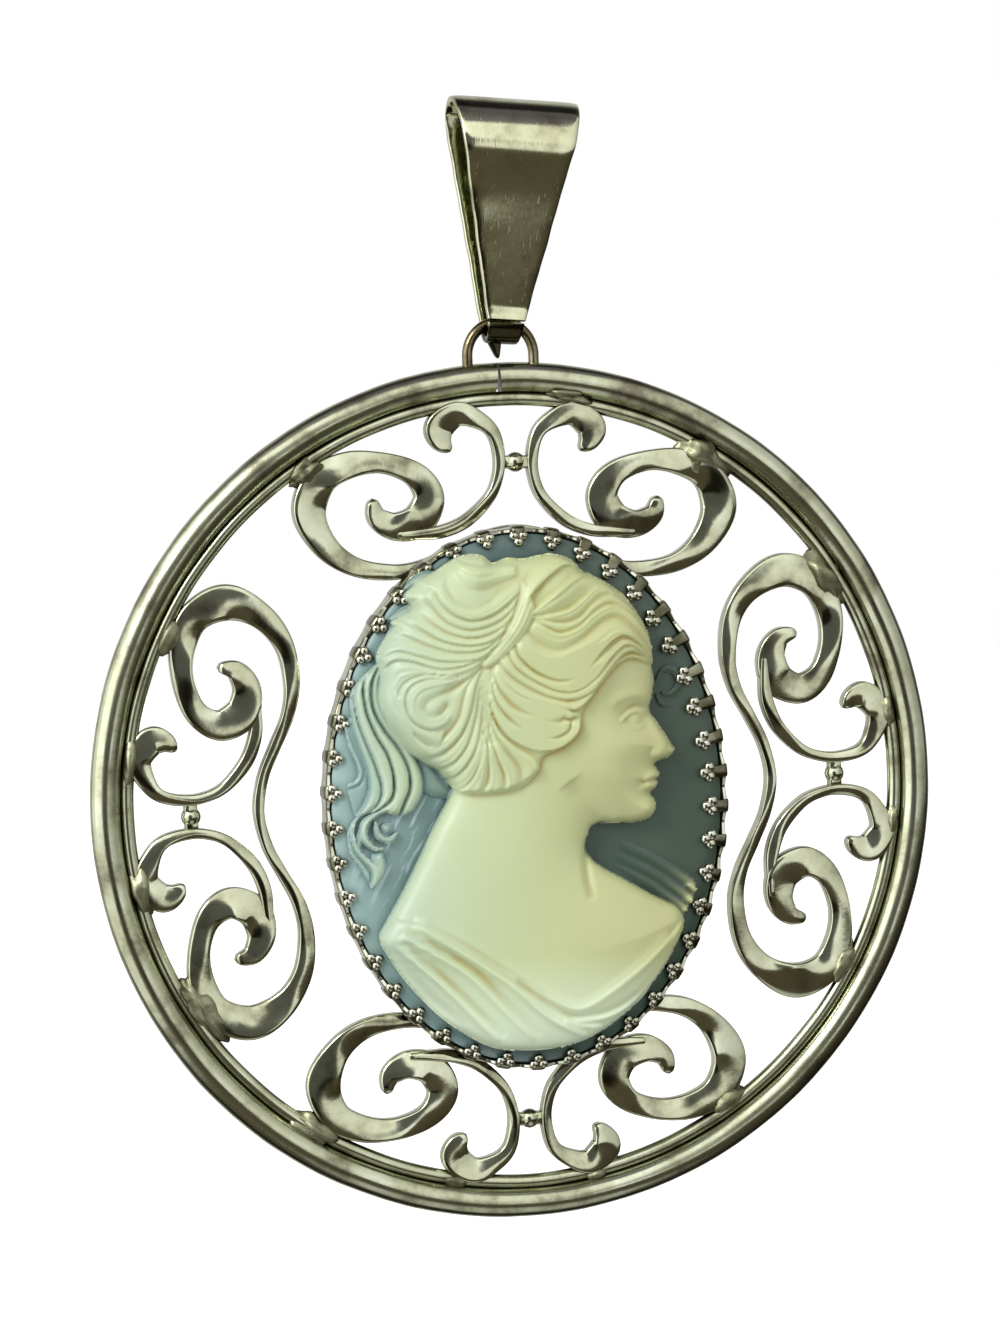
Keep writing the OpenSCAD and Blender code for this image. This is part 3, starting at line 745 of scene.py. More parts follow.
# %% Plate and wall
def plate_shell(around=336):
    """A flat oval with a rounded edge: the last rows step out and down as a quarter circle would."""
    share = np.arange(around) / around
    edge, _ = oval_at(share)
    inner = np.array([0.2, 0.5, 0.8, 0.96, 0.985, 0.996, 1.0])
    front = -BRACE_T / 2 - PLATE_T
    fall = np.array([0, 0, 0, 0, 0.04, 0.12, 0.2])
    shrink = np.concatenate([inner, inner[::-1]])
    y = np.concatenate([front + fall, (front + PLATE_T - fall)[::-1]])
    points = edge[None] * shrink[:, None, None]
    points[..., 1] = y[:, None]
    return swept(points + cameo_mid)


WALL_DIP, WALL_SWELL = 0.34, 0.07


def wall_shell(around=1260):
    """Upright wall: a thin section whose top dips between prongs with a raised cosine, and whose outer
    face, the first five corners, swells a little behind each prong."""
    share = np.arange(around) / around
    edge, outwards = oval_at(share)
    near = 0.5 - 0.5 * np.cos(2 * np.pi * share * PRONGS)
    top = wall_front + WALL_DIP * (1 - near) ** 2
    foot = -BRACE_T / 2 - FIT_GAP
    swell = WALL_SWELL * near
    inside = -WALL_T
    # Section corners: outwards from the oval, and height from foot (0) to top (1)
    section = [(0, 0), (0, 0.35), (0, 0.8), (-0.03, 0.93), (-0.12, 1), (-0.28, 1), (-0.37, 0.93),
               (inside, 0.8), (inside, 0.3), (inside, 0)]
    sheet = [edge + outwards * (reach + swell * (k < 5))[:, None]
             + np.stack([0 * share, foot + (top - foot) * height, 0 * share], axis=1)
             for k, (reach, height) in enumerate(section)]
    return swept(np.stack(sheet, axis=1) + cameo_mid, ring=True)


frame_piece("setting_cup", joined([plate_shell(), wall_shell()]), silver_prong)

# %% Prongs
PRONG_REACH = 1.2
PRONG_EXTRA = 1.1
LONGEST_AT = 25
PRONG_TILT = math.atan2(0.31, 1.25)
BEAD_R, BEAD_HIGH = 0.34, 0.24
STEM_HALF_T = 0.13


def prong_shell(k):
    """A strip that climbs the wall's outer face, bends over its edge and slopes to the tip, then three
    beads: one at the tip and one at each side, half a bead further back. Reach grows with the squared
    cosine of the angle from the longest prong, as in the source."""
    share = (k + 0.5) / PRONGS
    foot, outwards = oval_at(share)
    sideways = np.cross(outwards, [0, 1, 0])
    angle = math.degrees(math.atan2(foot[2] / cup_c, foot[0] / cup_a))
    longer = max(0, math.cos(math.radians(angle - LONGEST_AT))) ** 2
    dice = np.random.default_rng(300 + k)
    reach = PRONG_REACH + PRONG_EXTRA * longer + dice.uniform(-0.06, 0.06)
    lean = dice.uniform(-0.07, 0.07)
    slope = math.tan(PRONG_TILT)
    stem = reach - 1.7 * BEAD_R
    # Inwards from the wall's outer face, height, half width
    path = np.array([[-0.06, -1.0, 0.42], [-0.07, -1.8, 0.46], [-0.05, wall_front + 0.35, 0.5],
                     [0.06, wall_front + 0.02, 0.5], [0.3, wall_front - 0.07, 0.46],
                     [stem * 0.6, wall_front - 0.03 - slope * (stem * 0.6 - 0.2), 0.42],
                     [stem, wall_front - 0.03 - slope * (stem - 0.2), 0.38]])
    path = finer(path, 4)
    along = unit(np.gradient(path[:, :2], axis=0))
    out = np.stack([along[:, 1], -along[:, 0]], axis=1)
    u, v = superellipse(16, 0.5, 0.7)
    across = path[:, 2:] * u + lean * np.maximum(0, path[:, :1])
    deep = path[:, None, :2] + out[:, None] * (STEM_HALF_T * v)[None, :, None]
    strip = foot - outwards * deep[..., :1] + sideways * across[..., None] + deep[..., 1:] * [0, 1, 0]

    def bead(back, side, size):
        inwards = reach - BEAD_R * (1 + back)
        y = wall_front - 0.05 - slope * (inwards - 0.2)
        middle = foot - outwards * inwards + sideways * (side * BEAD_R * 1.05 + lean * inwards) + [0, y, 0]
        points, faces = ball([0, 0, 0], [1, 1, 1], 9, 12)
        flat = (points[:, :1] * outwards + points[:, 2:] * sideways) * size
        points = flat + points[:, 1:2] * [0, BEAD_HIGH, 0]
        return points + middle + cameo_mid, faces

    size = BEAD_R * (1 + 0.18 * longer)
    beads = [bead(0, 0, size), bead(1.35, -1, size), bead(1.35, 1, size)]
    return swept(strip + cameo_mid), joined([outward(*b) for b in beads])


stems, beads = zip(*[prong_shell(k) for k in range(PRONGS)])
frame_piece("prong_stems", joined(stems), silver_stem, 60)
frame_piece("prong_beads", joined(beads), silver_prong, 60)

# %% [markdown]
# ## The cameo's ground
# The ground is a cast oval of blue-grey resin with a rounded bevel. It is a stack of ovals, each the
# outline moved in by the bevel's own profile, closed to a point in the middle.

# %% Resin materials
def ground_colour_and_painted_shade(tree, place):
    """The ground's colour from left to right across the cameo: milky blue, then grey, then dark green. The
    darkening to the right is partly painted shade, away from the light.
    """
    across = node(tree, "SeparateXYZ", {0: place}).outputs["X"]
    share = node(tree, "MapRange", {"Value": across, "From Min": (cameo_mid[0] - 15) * MM,
                                    "From Max": (cameo_mid[0] + 15) * MM}).outputs[0]
    tones = [(0.0, "#9AB5AF"), (0.14, "#809C98"), (0.3, "#66827F"), (0.42, "#586E6C"), (0.6, "#475A50"),
             (1.0, "#3F4E41")]
    return node(tree, "ValToRGB", {"Fac": share}, tones).outputs[0]


def ground_resin():
    """Slightly milky blue-grey cast resin: painted darker and greener away from the light, faint clouds,
    satin, and at the left of the neck light streaks along the neck's slope: scuffs and a painted sheen."""
    made, tree, place = new_material("blue_grey_resin")
    cloud = node(tree, "TexNoise", {"Vector": place, "Scale": 1 / (6 * MM), "Detail": 3.0}).outputs["Fac"]
    darker = node(tree, "ValToRGB", {"Fac": cloud}, [(0.35, 0.86), (0.65, 1.0)]).outputs[0]
    clouded = node(tree, "Mix", {0: 1.0, 6: ground_colour_and_painted_shade(tree, place), 7: darker}, data_type="RGBA",
                   blend_type="MULTIPLY").outputs[2]
    along_neck = node(tree, "Mapping", {"Vector": place, "Rotation": (0, math.radians(30), 0),
                                        "Scale": (0.5 * MM, 0.5 * MM, 3 * MM)}, vector_type="TEXTURE")
    lines = node(tree, "TexNoise", {"Vector": along_neck.outputs[0], "Scale": 1.0,
                                    "Detail": 3.0}).outputs["Fac"]
    # Light streaks left of the neck: scuffs, and a painted sheen.
    from_streak_patch = node(tree, "VectorMath", {0: place, 1: tuple((cameo_mid + [-9.0, ground_y, -3.5]) * MM)},
                      operation="DISTANCE").outputs["Value"]
    here = node(tree, "MapRange", {"Value": from_streak_patch, "From Min": 2.5 * MM, "From Max": 6 * MM,
                                   "To Min": 1.0, "To Max": 0.0}).outputs[0]
    streaks = node(tree, "ValToRGB", {"Fac": lines}, [(0.50, 0.0), (0.64, 0.75)]).outputs[0]
    scuffs_and_painted_sheen = node(tree, "Mix", {0: 1.0, 6: streaks, 7: here}, data_type="RGBA",
                  blend_type="MULTIPLY").outputs[2]
    colour = node(tree, "Mix", {0: scuffs_and_painted_sheen, 6: clouded, 7: linear("#BCD3D8")}, data_type="RGBA").outputs[2]
    grain = node(tree, "TexNoise", {"Vector": place, "Scale": 1 / (0.4 * MM), "Detail": 2.0}).outputs["Fac"]
    bump = node(tree, "Bump", {"Height": grain, "Strength": 0.08, "Distance": 0.02 * MM}).outputs["Normal"]
    shader = node(tree, "BsdfPrincipled", {"Base Color": colour, "Roughness": 0.3, "Normal": bump})
    node(tree, "OutputMaterial", {"Surface": shader.outputs[0]})
    return made


# %% Ground
def ground_shell(around=360):
    """Ovals, each moved in by the first number at the depth that the second gives: back edge, upright
    rim, rounded corner, bevel, and flat front up to the middle."""
    t = full_turn(around)
    rim = ground_y + BEVEL_T
    steps = [(0, cameo_back), (0, cameo_back - 0.6), (0, rim + 0.12), (0.03, rim + 0.04), (0.12, rim - 0.03),
             (0.5, rim - 0.19), (0.9, ground_y + 0.03), (1.1, ground_y + 0.005)]
    steps += [(d, ground_y) for d in (1.4, 3, 6, 10, 13.5)]
    rings = [np.stack([(cameo_a - d) * np.cos(t), 0 * t + y, (cameo_c - d) * np.sin(t)], axis=1)
             for d, y in steps]
    return swept(np.stack(rings) + cameo_mid)


plate = put_mesh("cameo_plate", ground_shell())
finish_piece(plate, "pendant", "cameo_ground", ground_resin())

# %% [markdown]
# ## The bust, carved as a height field
# A cameo is relief: seen from the front, each place has one height above the ground. So the bust is a
# height for every point of a fine grid. Large soft forms come first, then the locks of hair, which are
# strips between pairs of lines, then ridges and grooves along lines. The grid is cut off along the
# outline, so the edge is smooth, and a wall goes down from there to the ground. The head is a figure in
# the classical manner with a plain face of its own, on the proportions that drawing books teach.

# %% Grid, and distances on it
GRID = 0.095
RELIEF = 3.4
SUNK = 0.08
x_line = np.arange(-14.2, 13.2, GRID)
z_line = np.arange(-19.4, 19.6, GRID)
X, Z = np.meshgrid(x_line, z_line)


def near_path(path, x, z):
    """Distance to a path of short straight pieces, and where along it the nearest place is, 0 to 1."""
    best, share = np.full(x.shape, 99.0), np.zeros(x.shape)
    pieces = len(path) - 1
    for k in range(pieces):
        (ax, az), (dx, dz) = path[k], path[k + 1] - path[k]
        t = np.clip(((x - ax) * dx + (z - az) * dz) / (dx * dx + dz * dz + 1e-9), 0, 1)
        gap = np.hypot(x - ax - t * dx, z - az - t * dz)
        nearer = gap < best
        best = np.where(nearer, gap, best)
        share = np.where(nearer, (k + t) / pieces, share)
    return best, share


def within(loop, x, z):
    """Inside a closed loop: a line going right from the point crosses the loop an odd number of times."""
    odd = np.zeros(x.shape, bool)
    for (ax, az), (bx, bz) in zip(loop, np.roll(loop, -1, axis=0)):
        if az != bz:
            odd ^= ((az > z) != (bz > z)) & (x < ax + (z - az) * (bx - ax) / (bz - az))
    return odd


def depth_inside(loop, x, z):
    """Distance to the loop, positive inside and negative outside."""
    gap, _ = near_path(np.vstack([loop, loop[:1]]), x, z)
    return np.where(within(loop, x, z), gap, -gap)


def window(path, margin):
    """The part of the grid round a path, so that distances are worked out only there."""
    low, high = path.min(axis=0) - margin, path.max(axis=0) + margin
    i = slice(*np.searchsorted(z_line, [low[1], high[1]]))
    return i, slice(*np.searchsorted(x_line, [low[0], high[0]]))


def rounded(depth, width):
    """A quarter circle's rise: 0 at depth 0, 1 from depth = width on."""
    t = np.clip(depth / width, 0, 1)
    return np.sqrt(1 - (1 - t) ** 2)


def curve(*points):
    """A smooth line through given points, in mm from the cameo's middle."""
    return finer(points, 6)


print("grid", X.shape, "points", X.size)

# %% [markdown]
# ### Large forms
# Two outlines carry everything: the bust, and the cap of hair on it. Each rises from its edge as a
# quarter circle does, quickly at first and then over a longer way to its full height, so the middle of
# the neck and the cheek stand highest. The tail behind the neck lies on a low apron of its own.

# %% Outline of head, neck and shoulders, clockwise from the hair over the forehead
FACE_LINE = [(9.6, 11.4), (9.75, 9.6), (9.8, 8.2), (9.6, 7.1), (9.45, 6.2), (10.2, 5.0), (10.95, 3.8),
    (11.25, 3.15), (10.7, 2.6), (9.7, 2.25), (9.85, 1.8), (10.05, 1.35), (9.8, 1.02), (9.9, 0.75),
    (9.6, 0.35), (9.3, 0.0), (9.55, -0.5), (9.65, -1.1), (9.2, -1.8), (8.0, -2.15), (6.6, -2.1),
    (5.3, -2.1)]
FRONT_LINE = [(4.5, -2.4), (4.2, -3.3), (4.25, -4.2), (5.1, -5.2), (7.2, -6.5), (9.3, -7.8), (11.0, -8.7),
    (11.5, -9.9), (10.9, -11.5), (9.6, -13.6), (7.4, -16.0), (4.6, -17.9), (2.1, -18.75)]
BACK_LINE = [(-0.2, -18.9), (-2.6, -18.75), (-4.7, -18.0), (-7.5, -16.0), (-9.9, -13.4), (-11.3, -11.3),
    (-12.0, -9.7), (-11.3, -8.3), (-10.2, -6.5), (-8.8, -4.0), (-7.5, -1.5), (-6.3, 0.5), (-6.0, 1.5),
    (-6.9, 2.6), (-8.3, 3.4), (-9.4, 4.4), (-10.6, 6.2), (-11.3, 8.1), (-11.1, 9.9), (-11.4, 11.4),
    (-10.7, 12.7), (-10.0, 13.4), (-10.1, 14.0), (-8.5, 14.7), (-9.1, 15.8), (-8.1, 16.7), (-6.9, 17.4),
    (-5.6, 18.2), (-4.3, 18.7), (-3.1, 18.6), (-2.3, 18.0), (-1.2, 18.3), (0.1, 18.2), (1.3, 18.4),
    (2.6, 18.4), (3.8, 17.9), (4.6, 17.0), (5.7, 16.5), (6.8, 15.8), (7.7, 15.1), (8.5, 14.0), (9.2, 12.7)]
HAIR_LINE = [(9.9, 11.4), (9.75, 9.9), (9.2, 10.1), (8.6, 10.6), (7.4, 10.8), (6.3, 9.9), (5.0, 8.3),
    (4.1, 7.2), (3.6, 6.2), (3.3, 5.0), (2.0, 4.0), (0.6, 3.4), (0.2, 2.4), (-0.6, 1.5), (-1.8, 1.0),
    (-3.5, 0.8), (-5.2, 0.8), (-6.4, 1.2), (-6.9, 2.4)]

bust_loop = np.vstack([curve(*FACE_LINE, FRONT_LINE[0])[:-1], curve(*FRONT_LINE, BACK_LINE[0])[:-1],
                       curve(*BACK_LINE, FACE_LINE[0])[:-1]])
hair_loop = np.vstack([curve(*HAIR_LINE, BACK_LINE[14])[:-1], curve(*BACK_LINE[14:], HAIR_LINE[0])[:-1]])
edge = depth_inside(bust_loop, X, Z)
hair_edge = depth_inside(hair_loop, X, Z)
EDGE_RISE, EDGE_REACH = 0.45, 0.8
BODY_RISE, BODY_REACH = 2.15, 6.5
HAIR_RISE, HAIR_REACH = 0.38, 0.6
height = EDGE_RISE * rounded(edge, EDGE_REACH) + BODY_RISE * rounded(edge, BODY_REACH) ** 0.85
height += HAIR_RISE * rounded(hair_edge, HAIR_REACH)
print("large forms rise to", round(height.max(), 2), "mm")

# %% [markdown]
# ### Locks of hair
# The parting runs down from the upper right, and the locks leave it on both sides. Each lock lies
# between two lines that start at its root. A point's share across is its distance to the first line
# over the sum of both distances. The lock is domed across and cut by narrow grooves into its strands.

# %% Fans of lines, each line from root to tip, and the locks between them
# Between a line and the next stands their lock: lift in mm, strands, height of its own foot above the
# ground, and its rim's share: positive for a rim at the second line, negative for one at the first
HAIR = {
    "crown, back, nape and ear": [
        [(-0.6, 16.6), (-2.2, 15.9), (-3.2, 15.1), (-4.6, 14.8), (-5.8, 15.4), (-6.2, 16.5),
         (-5.9, 17.3)], (0.50, 2, 0, 0.6),
        [(-0.7, 15.8), (-1.9, 14.8), (-3.2, 14.1), (-4.7, 13.9), (-6.1, 14.6), (-6.9, 15.8),
         (-7.0, 16.5)], (0.42, 2, 0, 0.6),
        [(-1.0, 15.1), (-1.5, 14.4), (-2.7, 13.6), (-4.5, 13.2), (-6.1, 13.7), (-7.1, 14.8),
         (-7.9, 15.9)], (0.42, 2, 0.4, 0.7),
        [(-1.2, 14.5), (-1.6, 13.8), (-2.7, 13.0), (-4.6, 12.6), (-6.3, 13.1), (-7.7, 14.1),
         (-8.8, 15.0)], (0.50, 2, 0.4, 0.7),
        [(-1.5, 13.9), (-2.8, 12.4), (-4.6, 12.0), (-6.6, 12.4), (-8.1, 13.3), (-9.3, 14.1),
         (-10.0, 13.8)], (0.42, 2, 0.4, 0.6),
        [(-2.0, 13.0), (-3.6, 11.7), (-5.9, 11.6), (-7.8, 12.2), (-9.4, 12.9),
         (-10.7, 12.7)], (0.52, 3, 0.4, 0.7),
        [(-2.4, 12.2), (-4.0, 11.0), (-6.6, 10.9), (-8.5, 11.4), (-10.0, 11.8),
         (-11.2, 11.3)], (0.50, 3, 0.4, 0.5),
        [(-3.2, 11.2), (-5.3, 10.5), (-7.2, 10.4), (-9.0, 11.0), (-10.4, 11.1), (-11.2, 10.0), (-11.3, 8.1),
         (-10.6, 6.3), (-9.3, 4.4), (-8.3, 3.5)], (0.50, 3, 0.5, 0.4),
        [(-3.7, 10.7), (-4.6, 10.2), (-6.2, 9.8), (-8.3, 10.0), (-9.8, 9.3), (-10.2, 7.9), (-9.7, 6.3),
         (-8.6, 5.1), (-7.8, 4.4), (-7.6, 4.0)], (0.42, 1, 0, 0),
        [(-3.8, 10.6), (-4.6, 10.0), (-6.2, 9.6), (-8.2, 9.6), (-9.4, 8.9), (-9.6, 7.6), (-9.0, 6.4),
         (-7.8, 5.9), (-6.7, 6.3), (-6.2, 7.2)], (0.55, 3, 0, -0.7),
        [(-3.8, 10.5), (-4.8, 9.6), (-6.0, 8.9), (-7.2, 8.4), (-8.0, 8.0), (-8.3, 7.5), (-7.9, 7.0),
         (-7.3, 7.0), (-6.9, 7.3), (-6.7, 7.6)], (0.28, 1, 0, 0),
        [(-3.8, 10.4), (-4.9, 9.2), (-5.4, 8.0), (-5.8, 6.6), (-6.7, 5.5), (-7.8, 4.9),
         (-8.5, 4.5)], (0.52, 3, 0.4, 0.5),
        [(-3.8, 10.3), (-4.4, 8.9), (-4.9, 7.1), (-5.7, 5.4), (-6.9, 4.2),
         (-8.0, 3.7)], (0.42, 2, 0.4, 0.5),
        [(-3.7, 10.2), (-4.1, 8.6), (-4.5, 6.7), (-5.2, 4.7), (-6.2, 3.3),
         (-7.2, 2.8)], (0.50, 2, 0.4, 0.6),
        [(-3.6, 10.1), (-3.9, 8.5), (-4.1, 6.2), (-4.7, 4.2), (-5.7, 2.6),
         (-6.6, 1.9)], (0.42, 2, 0.4, 0.4),
        [(-3.6, 10.0), (-3.7, 8.3), (-3.9, 5.8), (-4.2, 3.6), (-4.9, 1.9),
         (-5.8, 1.1)], (0.50, 2, 0.4, -0.5),
        [(-3.5, 10.0), (-3.6, 8.1), (-3.7, 5.6), (-3.6, 3.5), (-3.6, 2.0), (-4.0, 1.0)], (0.44, 2, 0, -0.5),
        [(-3.5, 9.9), (-3.5, 7.9), (-3.4, 5.4), (-2.9, 3.5), (-2.4, 2.2), (-2.4, 1.1)], (0.52, 2, 0, -0.6),
        [(-3.4, 9.8), (-3.4, 7.7), (-3.1, 5.6), (-2.3, 4.1), (-1.4, 2.8), (-1.1, 1.6)], (0.50, 2, 0, 0.5),
        [(-3.4, 9.7), (-3.3, 7.4), (-2.8, 5.6), (-1.6, 4.3), (-0.2, 3.4), (0.3, 2.5)]],
    "roll under the ear": [
        [(-3.4, 9.6), (-3.2, 7.2), (-2.1, 5.1), (-0.1, 4.0), (1.9, 4.0), (3.3, 5.0),
         (3.6, 6.2)], (0.62, 3, 0, -0.8),
        [(-3.2, 9.8), (-2.8, 7.8), (-1.7, 6.3), (0.0, 5.2), (1.4, 4.9), (2.4, 5.3),
         (2.7, 6.0)], (0.55, 2, 0, -0.6),
        [(-3.1, 10.0), (-2.5, 8.4), (-1.3, 7.1), (0.2, 6.4), (1.2, 6.1), (1.9, 6.0),
         (2.2, 6.2)], (0.50, 2, 0, 0.5),
        [(-2.9, 10.3), (-2.2, 9.1), (-0.9, 8.0), (0.8, 7.4), (2.2, 7.0), (3.0, 6.6), (3.6, 6.3)]],
    "brow and top": [
        [(-2.9, 10.3), (-2.2, 9.1), (-0.9, 8.0), (0.8, 7.4), (2.2, 7.0), (3.1, 6.8), (4.0, 7.3), (5.1, 8.5),
         (6.4, 9.8), (7.5, 10.4), (8.6, 10.2), (9.4, 9.8)], (0.52, 2, 0, -0.7),
        [(-2.6, 10.8), (-1.6, 9.6), (-0.2, 8.6), (1.5, 7.8), (3.0, 7.6), (4.6, 8.2), (6.1, 9.8),
         (7.5, 10.8), (8.7, 10.5), (9.5, 9.9)], (0.46, 2, 0.3, -0.6),
        [(-1.8, 11.5), (-1.2, 10.2), (0.2, 9.1), (1.9, 8.3), (3.4, 8.3), (4.8, 9.2), (6.1, 10.6),
         (7.3, 11.4), (8.5, 10.9), (9.5, 10.1)], (0.50, 2, 0, -0.7),
        [(-1.3, 12.0), (-0.8, 10.8), (0.6, 9.6), (2.4, 9.1), (4.0, 9.8), (5.5, 11.2), (6.9, 12.1),
         (8.0, 11.7), (9.0, 10.8), (9.6, 10.3)], (0.70, 3, 0, -0.6),
        [(-0.4, 12.9), (0.6, 11.9), (2.0, 11.3), (3.6, 11.9), (5.0, 12.9), (6.4, 13.5), (7.6, 13.0),
         (8.7, 11.9), (9.7, 10.5)], (0.50, 2, 0, 0.7),
        [(0.3, 13.6), (1.1, 13.1), (2.2, 12.6), (3.6, 13.0), (4.8, 13.9), (6.1, 14.5), (7.4, 14.2),
         (8.7, 12.9), (9.5, 11.6), (9.8, 10.6)], (0.44, 2, 0.4, 0.6),
        [(0.2, 13.8), (2.3, 13.3), (3.7, 13.6), (5.0, 14.7), (6.4, 15.2), (7.8, 14.3), (8.8, 13.1),
         (9.6, 11.9)], (0.48, 2, 0.4, 0.7),
        [(0.0, 13.9), (1.4, 14.0), (3.0, 14.4), (4.2, 15.2), (5.3, 16.0), (6.4, 15.9)], (0.44, 2, 0.4, 0.6),
        [(-0.2, 14.0), (1.0, 15.0), (2.5, 16.2), (3.8, 16.9), (4.9, 17.0)]],
    "tuft": [
        [(-0.5, 14.6), (0.4, 15.8), (1.8, 17.0), (3.0, 17.6), (3.9, 17.4)], (0.72, 3, 0.4, -0.5),
        [(-0.6, 15.2), (-0.2, 16.6), (0.8, 17.9), (2.0, 18.5), (3.2, 18.1), (3.9, 17.5)]],
    "parting": [
        [(-0.4, 16.8), (-0.9, 15.0), (-1.5, 13.7), (-2.4, 12.3), (-3.4, 11.1),
         (-3.9, 10.6)], (0.50, 4, 0, 0),
        [(0.4, 14.2), (-0.4, 12.8), (-1.3, 11.8), (-2.3, 10.9), (-3.2, 10.3), (-3.8, 10.2)]],
    "bun": [
        [(-0.7, 16.9), (-2.2, 16.5), (-3.6, 16.1), (-4.9, 16.5), (-5.6, 17.5)], (0.6, 3, 0, 0.5),
        [(-0.6, 17.7), (-2.0, 17.9), (-3.3, 17.8), (-4.4, 18.0), (-5.2, 18.3)]],
    "stem of the roll": [
        [(-4.0, 10.4), (-4.2, 8.6), (-4.1, 6.6), (-3.8, 4.9)], (0.35, 3, 0, 0),
        [(-3.1, 10.2), (-3.2, 8.5), (-3.3, 6.6), (-3.7, 4.9)]],
    "stray lock, high": [
        [(-5.9, 17.3), (-7.3, 17.6), (-8.5, 17.0), (-9.2, 16.0)], (0.40, 2, 0.35, 0.6),
        [(-6.9, 15.9), (-7.9, 16.6), (-8.8, 16.3), (-9.3, 15.9)]],
    "stray lock, low": [
        [(-7.2, 14.9), (-8.4, 15.2), (-9.3, 14.9), (-10.1, 14.3)], (0.40, 2, 0.35, 0.6),
        [(-7.2, 14.1), (-8.6, 14.4), (-9.7, 14.2), (-10.3, 14.0)]],
    "tail": [
        [(-10.8, 10.9), (-11.1, 9.4), (-11.0, 7.9), (-10.4, 6.4), (-9.3, 4.8), (-8.5, 3.4), (-8.1, 2.0),
         (-8.3, 0.7), (-9.1, -0.5)], (0.36, 1, 0.6, 0.5),
        [(-11.0, 10.9), (-11.8, 9.5), (-11.8, 7.6), (-11.0, 5.9), (-10.0, 4.5), (-9.3, 3.0), (-9.2, 1.5),
         (-9.7, 0.3), (-10.1, -0.6)], (0.42, 2, 0.85, 0.5),
        [(-11.2, 10.9), (-12.4, 9.5), (-12.3, 7.4), (-11.6, 5.5), (-10.8, 4.0), (-10.4, 2.3), (-10.6, 0.8),
         (-11.7, -0.1)], (0.42, 3, 0.85, 0.4),
        [(-11.4, 10.8), (-13.0, 9.2), (-13.0, 7.1), (-12.4, 5.1), (-11.7, 3.2), (-11.3, 1.5), (-11.7, 0.3),
         (-12.7, -0.4)], (0.34, 2, 0.5, -0.5),
        [(-11.6, 10.7), (-13.3, 8.9), (-13.4, 6.8), (-13.0, 5.0), (-12.4, 3.1), (-12.3, 1.4), (-12.8, 0.2),
         (-13.4, -0.5)], (0.15, 1, 0.2, 0),
        [(-13.7, 6.5), (-13.4, 5.1), (-12.8, 3.7), (-12.6, 2.7), (-13.0, 1.9),
         (-13.9, 1.6)], (0.32, 1, 0.2, 0),
        [(-13.9, 6.2), (-13.7, 4.8), (-13.2, 3.6), (-13.0, 2.7), (-13.3, 2.2), (-13.9, 2.0)]],
    "ring of the tail": [
        [(-10.4, 0.5), (-11.7, -0.1), (-12.8, -0.7), (-13.2, -1.6), (-12.9, -2.5), (-12.1, -3.1),
         (-11.2, -3.2)], (0.45, 1, 0.4, 0),
        [(-10.5, -0.3), (-11.4, -0.4), (-12.2, -0.9), (-12.5, -1.6), (-12.3, -2.4), (-11.8, -2.8),
         (-11.3, -2.9)]],
    "end of the tail": [
        [(-12.8, -0.4), (-13.4, -0.9), (-13.5, -2.0), (-13.1, -3.1), (-12.2, -3.9), (-11.6, -4.4),
         (-11.7, -5.1), (-12.4, -5.9)], (0.45, 2, 0.45, -0.5),
        [(-13.2, -0.5), (-13.8, -1.1), (-13.8, -2.1), (-13.5, -3.2), (-12.9, -4.0), (-12.4, -4.8),
         (-12.4, -5.6)], (0.30, 1, 0.25, 0),
        [(-13.4, -0.6), (-14.0, -1.5), (-14.0, -2.7), (-13.8, -3.5), (-13.3, -4.2), (-12.9, -4.9),
         (-12.5, -5.6)]],
    "leaf at its tip": [
        [(-11.5, -3.2), (-11.2, -4.2), (-11.4, -5.1), (-12.2, -5.9)], (0.45, 1, 0.3, -0.5),
        [(-12.2, -3.4), (-12.4, -4.4), (-12.4, -5.2), (-12.5, -5.9)]]}

# %% Lay the locks
outline = edge.copy()


def lay_lock(first, lock, second):
    """Height of the form below, or of the lock's own foot if that is higher, plus lift times a profile
    that dies away at root and tip. The profile mixes a dome, (4u(1-u))^0.6, with a dished shell that
    climbs to a rim at one of the two lines, and is cut by strands that crowd towards the rim."""
    lift, strands, foot, rim = lock
    one, two = curve(*first), curve(*second)
    loop = np.vstack([one, two[::-1]])
    i, j = window(loop, 0.8)
    x, z = X[i, j], Z[i, j]
    depth = depth_inside(loop, x, z)
    gap_1, share_1 = near_path(one, x, z)
    gap_2, share_2 = near_path(two, x, z)
    u = gap_1 / (gap_1 + gap_2 + 1e-6)
    share = share_1 * (1 - u) + share_2 * u
    w = u if rim > 0 else 1 - u
    shell = w**1.4 * np.clip((1 - w) / 0.14, 0, 1) ** 0.5
    cut = 0.66 + 0.34 * np.abs(np.sin(np.pi * strands * (w**1.8 if rim else w))) ** 0.8
    dome = ((1 - abs(rim)) * (4 * u * (1 - u)) ** 0.6 + 1.25 * abs(rim) * shell) * cut
    ends = rounded(share, 0.12) * rounded(1 - share, 0.1)
    under = np.maximum(height[i, j], foot * rounded(depth, 0.35))
    laid = np.where(depth > 0, under + lift * dome * ends, 0)
    np.maximum(built[i, j], laid, out=built[i, j])
    if foot:
        np.maximum(outline[i, j], depth, out=outline[i, j])


